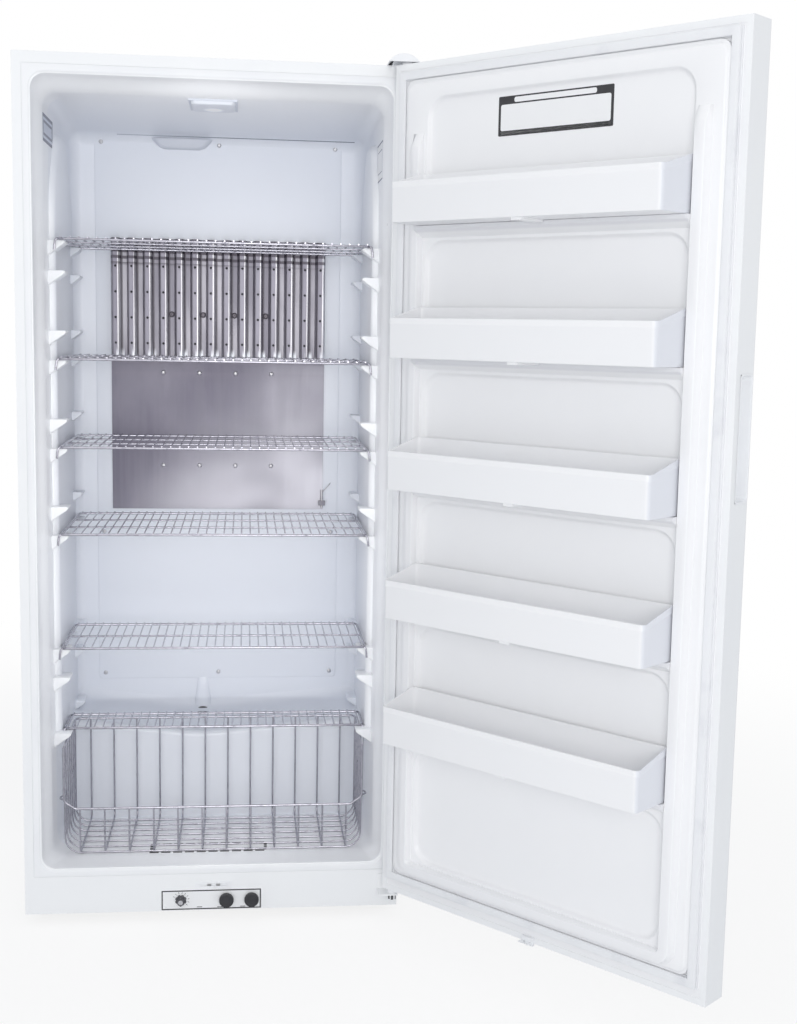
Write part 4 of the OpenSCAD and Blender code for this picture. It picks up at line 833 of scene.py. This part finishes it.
stem = turned("knob_stem", ((-2.5, 4), (25.2, 4)), knob_x, z=dial_z)
fit(join("knob_metal", [stem, cap]), "thermostat_knob_body", screw_metal, "screws", angle=28)
for label, x, node in (("gas_push", 29, "gas_button"), ("spark_push", 86, "igniter_button")):
    head = turned(label, ((-6.5, 15.6), (-6.6, 16.3), (-7.4, 16.5), (-12.2, 16.5), (-13.6, 15.9), (-14.3, 14.4),
                          (-14.1, 12.6), (-13.7, 10), (-13.5, 6), (-13.45, 2)), x, z=dial_z)
    shaft = turned("shaft", ((-7, 4), (25.2, 4)), x, z=dial_z)
    fit(join(label, [head, shaft]), node + "_body", black_plastic, "black_plastic", node)


# Hinges and keeper: the top hinge is a steel arm on the case with a pin, under a white arched cap. The lower one is
# a white bracket on the rail with a pin and a nut under it. The door's catch enters a white plate on the other side,
# whose slots have shallow walls behind them.
def softened(node, name, width, segments=2):
    """A copy of a CAD piece with its edges rounded."""
    mesh = bpy.data.meshes.new(name)
    with reworked(mesh) as work:
        work.from_mesh(frame["nodes"][node].data)
        bmesh.ops.remove_doubles(work, verts=work.verts, dist=2e-6)
        bmesh.ops.dissolve_limit(work, angle_limit=math.radians(0.5), verts=work.verts, edges=work.edges)
    mesh.materials.clear()
    if "custom_normal" in mesh.attributes:
        mesh.attributes.remove(mesh.attributes["custom_normal"])
    return bevelled(link(name, mesh), width, segments, 40)


dress(zinc_plate, "top_hinge")
fit(softened("hinge_cover", "hinge_cap", 1.0, 3), "cabinet", trim_plastic, "white_plastic", "hinge_cover")
fit(softened("bottom_hinge", "lower_bracket", 0.5), "cabinet", case_enamel, "white_steel", "bottom_hinge")
dress(trim_plastic, "catch_keeper")
fit(join("keeper_pocket", [skin("keeper_wall", [upright(y, wide, (76, 90), 2, 3) for y in (front, front + 0.6)])
                           for wide, front in (((-33, -14.5), 0.9), ((-5.5, 5.5), 0.9), ((14.5, 33), 0.9),
                                               ((-33, 33), 9.0))]), "cabinet", trim_plastic, "white_plastic")
nut = turned("hinge_nut", ((52.9, 8.4), (53.4, 9.8), (64.2, 9.8), (64.9, 9.0)), 406.5, -31, n=6, start=15)
fit(nut, "cabinet", base_paint, "dark_steel", angle=25)


# Cooling unit on the back: a boiler in a zinc case round the flue, over the burner, a finned condenser at the top,
# a coil and a tank below, all of welded black steel tube on a frame of flat bar.
dress(base_paint, "unit_frame")
dress(pipe_paint, "condenser", "absorber", "rectifier")
dress(enamel("flue_paint", (0.10, 0.095, 0.09), (0.20, 0.13, 0.09), 0.55, 0.0002), "flue")
dress(screw_metal, "burner")
dress(copper, "thermocouple")
hull = [(142, 45), (142.0, 63.5), (143.5, 64.9), (150, 64.9), (152, 63.9), (156, 63.9), (158, 64.9), (575, 64.9),
        (577, 63.9), (581, 63.9), (583, 64.9), (598, 64.9), (599.8, 63.2), (599.9, 45), (599.9, 25.3), (150, 25.3)]
hull = [(z if z > 150 else 150 + (z - 142) * 0.02, r) for z, r in hull]
fit(turned("boiler_jacket", hull, boiler_x, boiler_y, n=60, loop=True), "cabinet", zinc_plate, "zinc_steel",
    "boiler_case")
lead_rubber = moulded("lead_sleeve", (0.80, 0.79, 0.74), (0.70, 0.68, 0.62), 0.5)
lead = tubes("spark_lead", [
    [(182.3, boiler_y, 105), (160, 697.3, 81), (160, 697.3, 70), (160, 180, 70), (86, 180, 70), (86, 90.2, 70),
     (86, 72.2, dial_z), (86, 56.2, dial_z)]], 2.0, 10, lead_rubber)
rod = tubes("spark_rod", [[(182.3, boiler_y, 101), (182.3, boiler_y, 141)]], 2.5, 1, lead_rubber)
fit(join("spark_wire", [lead, rod]), "cabinet", lead_rubber, "lead", "electrode_lead")


# Wire shelves: a bent rod frame, cross rods, and thin wires welded on top from front to back, all bright zinc.
wire_finish = worn("bright_wire", (70, 4.0), (0.45, 0.8), ((0.42, 0.415, 0.465), (0.26, 0.255, 0.30)), 0.16, 0.2,
                   (0.00003, 500, 2.0), Metallic=0.92)
grid = Grove("wire_rows", count=35, pitch=0.02, length=0.38, radius=0.0016, finish="material")
grid.end(grid.copies(
    grid.node("GeometryNodeMeshLine", {
        "Count": grid.size("count"), "Offset": grid.node("ShaderNodeCombineXYZ", {0: grid.size("pitch")})}),
    grid.node("GeometryNodeMeshCylinder", {
        "Vertices": 8, "Radius": grid.size("radius"), "Depth": grid.size("length")}, fill_type="TRIANGLE_FAN"),
    Rotation=(math.pi / 2, 0, 0)))

for number, cross_rods in zip(range(1, 7), (2, 2, 2, 2, 1, 0)):
    node = f"shelf_{number}"
    low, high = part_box(node)
    half, front, back = high.x * 1000 - 2.8, low.y * 1000 + 322.75, high.y * 1000 + 317.25
    z = low.z * 1000 + 2.75
    parts = [tubes("shelf_frame", [[(-half, front, z), (half, front, z), (half, back, z), (-half, back, z)]],
                   2.75, 12, wire_finish, closed=True)]
    if cross_rods:
        places = [front + k * (back - front) / (cross_rods + 1) for k in range(1, cross_rods + 1)]
        parts.append(tubes("cross_rods", [[(-half, y, z - 0.4), (half, y, z - 0.4)] for y in places], 2.3, 1,
                           wire_finish))
    parts.append(tubes("front_hooks", [[(s * (half - 3), front, z), (s * (half + 1.5), front - 1, z - 3),
                                        (s * (half + 3), front - 2, z - 13), (s * (half + 4), front - 2, z - 25)]
                                       for s in (-1, 1)], 2.4, 4, wire_finish))
    row = grid.grow(dots("wires", []), count=35, pitch=0.02, length=(back - front + 2) / 1000, radius=0.0016,
                    finish=wire_finish)
    row.data.transform(Matrix.Translation(at(-340, (front + back) / 2, z + 4.0)))
    fit(join(f"wire_{node}", parts + [row]), f"{node}_body", wire_finish, "wire", node, angle=50)


# Basket: bent wires run up from the floor at the sides, the back and the low front, and a thicker rim holds them.
# At each side of the front a wire bows out as a handhold.
low_front, top_rim, bottom = 242, 388, 132.3
side_x, near, far = 342, 80, 326
rows = [near + 16 + k * (far - near - 32) / 6 for k in range(7)]
across = [[(-side_x, y, top_rim), (-side_x, y, bottom), (side_x, y, bottom), (side_x, y, top_rim)] for y in rows]
along = [[(x, near, low_front), (x, near, bottom + 3.6), (x, far, bottom + 3.6), (x, far, top_rim)]
         for x in [-306 + k * 612 / 11 for k in range(12)]]
rim = [[(-side_x, near, top_rim - 2), (-side_x, far, top_rim), (side_x, far, top_rim), (side_x, near, top_rim - 2)],
       [(-side_x, near, top_rim), (-side_x, near, low_front + 18), (-side_x + 26, near, low_front),
        (side_x - 26, near, low_front), (side_x, near, low_front + 18), (side_x, near, top_rim)]]
bows = [[(s * 341, 96, 258), (s * 354, 106, 258), (s * 354, 122, 258), (s * 341, 132, 258)] for s in (-1, 1)]
fit(join("wire_basket_bent", [
    tubes("basket_across", across, 2, 35, wire_finish), tubes("basket_along", along, 2, 15, wire_finish),
    tubes("basket_rim", rim, 2.7, 12, wire_finish), tubes("basket_bows", bows, 2, 8, wire_finish)]),
    "wire_basket_body", wire_finish, "wire", "wire_basket", angle=50)


# Printed plates inside: thin plastic plates with a dark border and a bare field, one on each side wall near the
# mouth and one on the floor under the basket, which has short dashes along its edge.
grey_ink = flecked("grey_print", (60,), ((0.17, 0.18, 0.24), (0.26, 0.27, 0.34)), 0.4, (0.00002, 400))
pale_ink = flecked("pale_print", (20,), ((0.66, 0.69, 0.78), (0.56, 0.59, 0.68)), 0.34, (0.00002, 400))
for label, frame_of, layers, materials in (
        ("left_plate", ((72, 236), (1735, 1796), lambda a, b, t: at(-in_x + t, a, b)),
         [(0.8, 1), (8, 2), (14, 1), (20, 2)], [white_ink, grey_ink, pale_ink]),
        ("right_plate", ((72, 204), (1677, 1763), lambda a, b, t: at(in_x - t, a, b)),
         [(0.8, 1), (4.2, 0), (18, 1), (20, 0)], [white_ink, grey_ink]),
        ("floor_plate", ((-152, 124), (84, 148), lambda a, b, t: at(a, b, floor_z + t)), [(1.2, 0)],
         [white_ink, black_ink_and_shade])):
    fit(printed_plate(label, frame_of, 0.22, layers, materials), "cabinet", None, "control_face")
dashes = [skin("floor_dash", [[at(x, y, floor_z + t) for x, y in oblong((a, a + long), (b, b + wide), 0.4, 2)]
                              for t in (0.1, 0.34)])
          for a, b, long, wide in [(-150 + 27.2 * k, y, 21, 8) for k in range(10) for y in (85, 138)] +
          [(x, 94 + 14.5 * k, 7, 11) for k in range(3) for x in (-150, 115)]]
fit(join("floor_plate_dashes", dashes), "cabinet", black_ink_and_shade, "control_face")


# Door case: a white steel pan with rounded long edges, folded in round its inner face. Foam fills it, and the
# hinge bushes, the catch and the pocket handle are set into its sides.
hinge = [joint for joint in frame["joints"] if joint["name"] == "door_hinge"][0]
axis_at = Vector((hinge["pos_m"][0], hinge["pos_m"][1], 0))
swing = Matrix.Translation(axis_at) @ Matrix.Rotation(math.radians(-hinge["range_deg"][0]), 4, "Z") @ \
    Matrix.Translation(-axis_at)


def opened(obj):
    """Turns a piece that was built in the closed door to the open door's place."""
    obj.data.transform(swing)
    return obj


dress(case_enamel, "door_skin")
dress(trim_plastic, "hinge_bushes")
fit(softened("door_catch", "catch_prongs", 0.5), "door", trim_plastic, "white_plastic", "door_catch")
fill = skin("door_filling", [upright(y, (-386, 417), (83.5, 1899.5), 3, 8) for y in (-79.5, -14.3)])
fit(opened(fill), "door", foam_finish, "foam", "door_foam", angle=30)
handle = skin("pocket_handle", [[at(x, a, b) for a, b in oblong((-70 - g, -30 + g), (1046 - g, 1276 + g), r)]
                                for x, g, r in (
    (-390.2, -7, 8), (-391.5, -3.5, 10), (-396, -1.4, 9), (-412, -0.6, 8), (-420.4, 0.0, 8), (-421.0, 0.8, 9),
    (-421.0, 2.6, 9), (-420.9, 3.6, 9), (-420.2, 1.5, 6), (-388.2, 1.5, 6))])
fit(opened(handle), "door", trim_plastic, "white_plastic", "handle_cup")


# Door liner: one drawn sheet of white plastic. It rises in a low plateau with six sunk panels, and two crests stand
# up beside the bins and meet under the lowest. A narrow rib under each bin carries it.
bins_at = [467 + (4 - i) * 274 for i in range(5)]
face, crown = -12, 11.7
plateau, low_edge, high_edge = 380, 135.5, 1860


def flat(work, loops, y):
    """Fills the area between an outer loop and the loops inside it."""
    edges = []
    for loop in loops:
        corners = [work.verts.new(at(x, y, z)) for x, z in loop]
        edges += [work.edges.new((corners[k], corners[(k + 1) % len(corners)])) for k in range(len(corners))]
    bmesh.ops.triangle_fill(work, edges=edges, use_beauty=True)


def collar(work, levels):
    """Joins loops of equal count, each at its own height."""
    rows = [[work.verts.new(at(x, y, z)) for x, z in loop] for loop, y in levels]
    for upper, lower in zip(rows, rows[1:]):
        for k in range(len(upper)):
            n = (k + 1) % len(upper)
            work.faces.new((upper[k], upper[n], lower[n], lower[k]))


wide = oblong((-plateau - 2.6, plateau + 2.6), (low_edge - 3.4, high_edge + 5), 22, 8)
slope = [(oblong((-plateau + g, plateau - g), (low_edge + g, high_edge - g), r, 8), face + y)
         for g, r, y in ((0, 22, 7.2), (1.2, 21, 8.2), (2.8, 20, 10), (4.6, 19, 11.2), (7, 18, crown))]
lowest_panel = 174.5
panels = zip([z + 2 for z in bins_at] + [lowest_panel], [high_edge - 32] + [z - 28 for z in bins_at])
mesh = bpy.data.meshes.new("door_sheet")
with reworked(mesh) as work:
    flat(work, [oblong((-418.6, 418.6), (82.4, 1900.6), 3, 8), wide], face - 1.25)
    collar(work, [(wide, face - 1.25), (wide, face + 6.5)] + slope)
    wells = []
    for low, high in panels:
        rims = [(oblong((-320 + g, 320 - g), (low + g, high - g), 46 - g * 0.5, 10), face + y) for g, y in (
            (0, crown), (1.4, 11.4), (3.0, 10.0), (5.2, 5.0), (7.4, 3.0), (10.5, 2.1), (14, 2.0))]
        collar(work, rims)
        flat(work, [rims[-1][0]], face + 2.0)
        wells.append(rims[0][0])
    flat(work, [slope[-1][0]] + wells, face + crown)
    bmesh.ops.remove_doubles(work, verts=work.verts, dist=1e-5)
    bmesh.ops.recalc_face_normals(work, faces=work.faces)
sheet = link("door_sheet", mesh)
if sum(polygon.normal.y * polygon.area for polygon in mesh.polygons) < 0:
    mesh.flip_normals()
thick = sheet.modifiers.new("sheet_wall", "SOLIDIFY")
thick.thickness = 0.0016
thick.offset = -1
settle(sheet)

# the two crests and the bar that joins them under the lowest bin, as one swept ridge
top_of_crest, crest_x, bar_z, bar_r = 1754, 338, 178, 18
bend = [(bar_r * math.cos(math.radians(a)), bar_r * math.sin(math.radians(a))) for a in range(0, 91, 15)]
path = [(-crest_x, top_of_crest), (-crest_x, 190)]
path += [(-crest_x + bar_r - c, bar_z - s) for c, s in bend] + [(crest_x - bar_r + s, bar_z - c) for c, s in bend]
path += [(crest_x, 190), (crest_x, top_of_crest)]
dense = []
for (x0, z0), (x1, z1) in zip(path, path[1:]):
    count = max(1, int(math.hypot(x1 - x0, z1 - z0) / 30))
    dense += [(x0 + (x1 - x0) * k / count, z0 + (z1 - z0) * k / count) for k in range(count)]
dense.append(path[-1])
ridge_rings = []
for k, (x, z) in enumerate(dense):
    x0, z0 = dense[max(k - 1, 0)]
    x1, z1 = dense[min(k + 1, len(dense) - 1)]
    length = math.hypot(x1 - x0, z1 - z0)
    side_x, side_z = -(z1 - z0) / length, (x1 - x0) / length
    share = min(1.0, (top_of_crest - z) / 26 if z > 1500 else 1.0)
    rise = 17.2 * math.sin(share * math.pi / 2) + 0.2
    form = [(a, crown + rise * b) for a, b in (
        (-12.0, -0.15), (-11.7, 0.55), (-11.2, 0.86), (-9.4, 1.0), (0, 1.0), (8.6, 1.0), (11.6, 0.9), (13.6, 0.6),
        (17.4, 0.12), (19.0, -0.05))] + [(3, 10)]
    ridge_rings.append([at(x - side_x * across, face + out, z - side_z * across) for across, out in form])
crests = skin("door_crests", ridge_rings)
shelf_ribs = [skin("bin_rib", [[at(x, y, z + h) for y, h in (
    (-1, -24), (14, -16.5), (27, -9), (28, -7), (28, -1.4), (27, -0.35), (-1, -0.35))]
    for x in (-327, -300, -100, 100, 300, 327)]) for z in bins_at]

# directions of the open door's width and depth, in which the door's plastics are shaded
along_door, out_of_door = (0.66262, -0.74896), (-0.74896, -0.66262)


def door_tone(name, direction, edges, share, shade, cloud, colours):
    """Plastic of the door, with painted shade beyond a line across one direction of the open door."""
    made = Finish(name)
    x, y, _ = made.axes()
    beyond = made.band(x * direction[0] + y * direction[1], *edges)
    return made.close(made.mix(beyond * share, made.mix(made.noise(*cloud), *colours), shade), 0.3,
                      made.grain(0.00004, 520, 2.0), Specular_IOR_Level=0.4)


# painted shade on the crests' tops, which stand furthest out of the door
door_plastic = door_tone("door_plastic", out_of_door, (-0.026, -0.018), 0.85, (0.81, 0.815, 0.845), (7,),
                         ((0.945, 0.945, 0.955), (0.925, 0.93, 0.945)))
fit(opened(join("door_liner_sheet", [sheet, crests] + shelf_ribs)), "door", door_plastic, "white_liner",
    "door_liner", angle=32)


# Gasket: a hollow rubber strip with a magnet in its crown, pressed into the edge of the door liner and mitred at
# its corners.
rubber_finish = worn("gasket_rubber", (16, 5.0), (0.5, 0.8), ((0.88, 0.89, 0.91), (0.80, 0.81, 0.84)), 0.48, 0.2,
                     (0.00008, 350), Specular_IOR_Level=0.35)
form = [(0, -13.1), (0.3, -12.0), (0.0, -10.2), (1.0, -9.1), (2.9, -8.6), (3.4, -7.6), (1.6, -6.9), (1.1, -5.6),
        (1.2, -2.0), (1.8, -0.9), (3.2, -0.4), (9.5, -0.32), (15.8, -0.4), (17.2, -0.9), (17.8, -2.0), (17.9, -5.6),
        (17.4, -6.9), (15.6, -7.6), (16.1, -8.6), (18.0, -9.1), (19.0, -10.2), (18.7, -12.0), (19, -13.1)]
half, low, high = 402, 112.5, 1885
gasket = skin("magnet_gasket", [[at(sx * (half - a), y, z0 + sz * a) for a, y in form] for sx, z0, sz in (
    (-1, low, 1), (1, low, 1), (1, high, -1), (-1, high, -1))], loop=True)
fit(opened(gasket), "door", rubber_finish, "gasket", "door_gasket", angle=40)


# Door bins: five loose trays of white plastic with a plain front, a thin line under the rim and ends that sweep up
# to the door. They drop between the crests onto the ribs.
# painted shade on each bin's end at the door's free edge
bin_plastic = door_tone("bin_plastic", along_door, (1.2555, 1.2605), 0.8, (0.78, 0.80, 0.86), (4, 1.0),
                        ((0.94, 0.94, 0.952), (0.925, 0.93, 0.945)))
bin_half, y_door, y_front = 324.2, 0.4, 107.8


def rim_height(y):
    """Height of a bin's edge over its floor."""
    if y > y_front - 14:
        return 82
    return 84 + 22 * min(1, (y_front - 14 - y) / (y_front - 14 - y_door - 12))


for number, z in enumerate(bins_at, 1):
    tray = skin("tray", [[at(x, y, z + height + share * rim_height(y)) for x, y in oblong(
        (-bin_half + i, bin_half - i), (y_door + i, y_front - i), max(11 - i, 3), 7)] for i, height, share in (
        (4.5, 0, 0), (1.6, 0.7, 0), (0.9, 3.2, 0), (0.45, -14, 1), (0, -12.6, 1), (0, -10.6, 1), (0.5, -9.4, 1),
        (0.2, -0.8, 1), (0.9, 0, 1), (2.3, 0, 1), (3.0, -0.8, 1), (3.2, 7, 0), (4.4, 3.8, 0), (7.0, 3.0, 0))])
    hook = skin("hook", [upright(y, (-12, 12), (z - 5, z + 1), 1.5, 3) for y in (32.2, 33, 101, 102)])
    fit(opened(join(f"bin_tray_{number}", [tray, hook])), f"door_bin_{number}_body", bin_plastic, "bin_plastic",
        f"door_bin_{number}", angle=30)


# Instruction plate on the door's top panel: a thin black plate with one large bare white field and a narrow one
# above and below it.
door_plate = printed_plate("door_plate", ((-137, 138), (1734, 1811), lambda a, b, t: at(a, face + 2 + t, b)), 0.5,
                           [(0.6, 0)], [black_ink_and_shade])
fit(opened(door_plate), "door", None, "control_face")
fields = [skin("field", [upright(face + 2.42 + t, *spans, 4, 5) for t in (0, 0.16)])
          for spans in (((-131, 132), (1744, 1795)), ((-98, 99), (1798, 1808)), ((-131, 132), (1737.5, 1740.5)))]
fit(opened(join("door_plate_fields", fields)), "door", white_ink, "control_face")
bpy.data.objects.remove(screw)
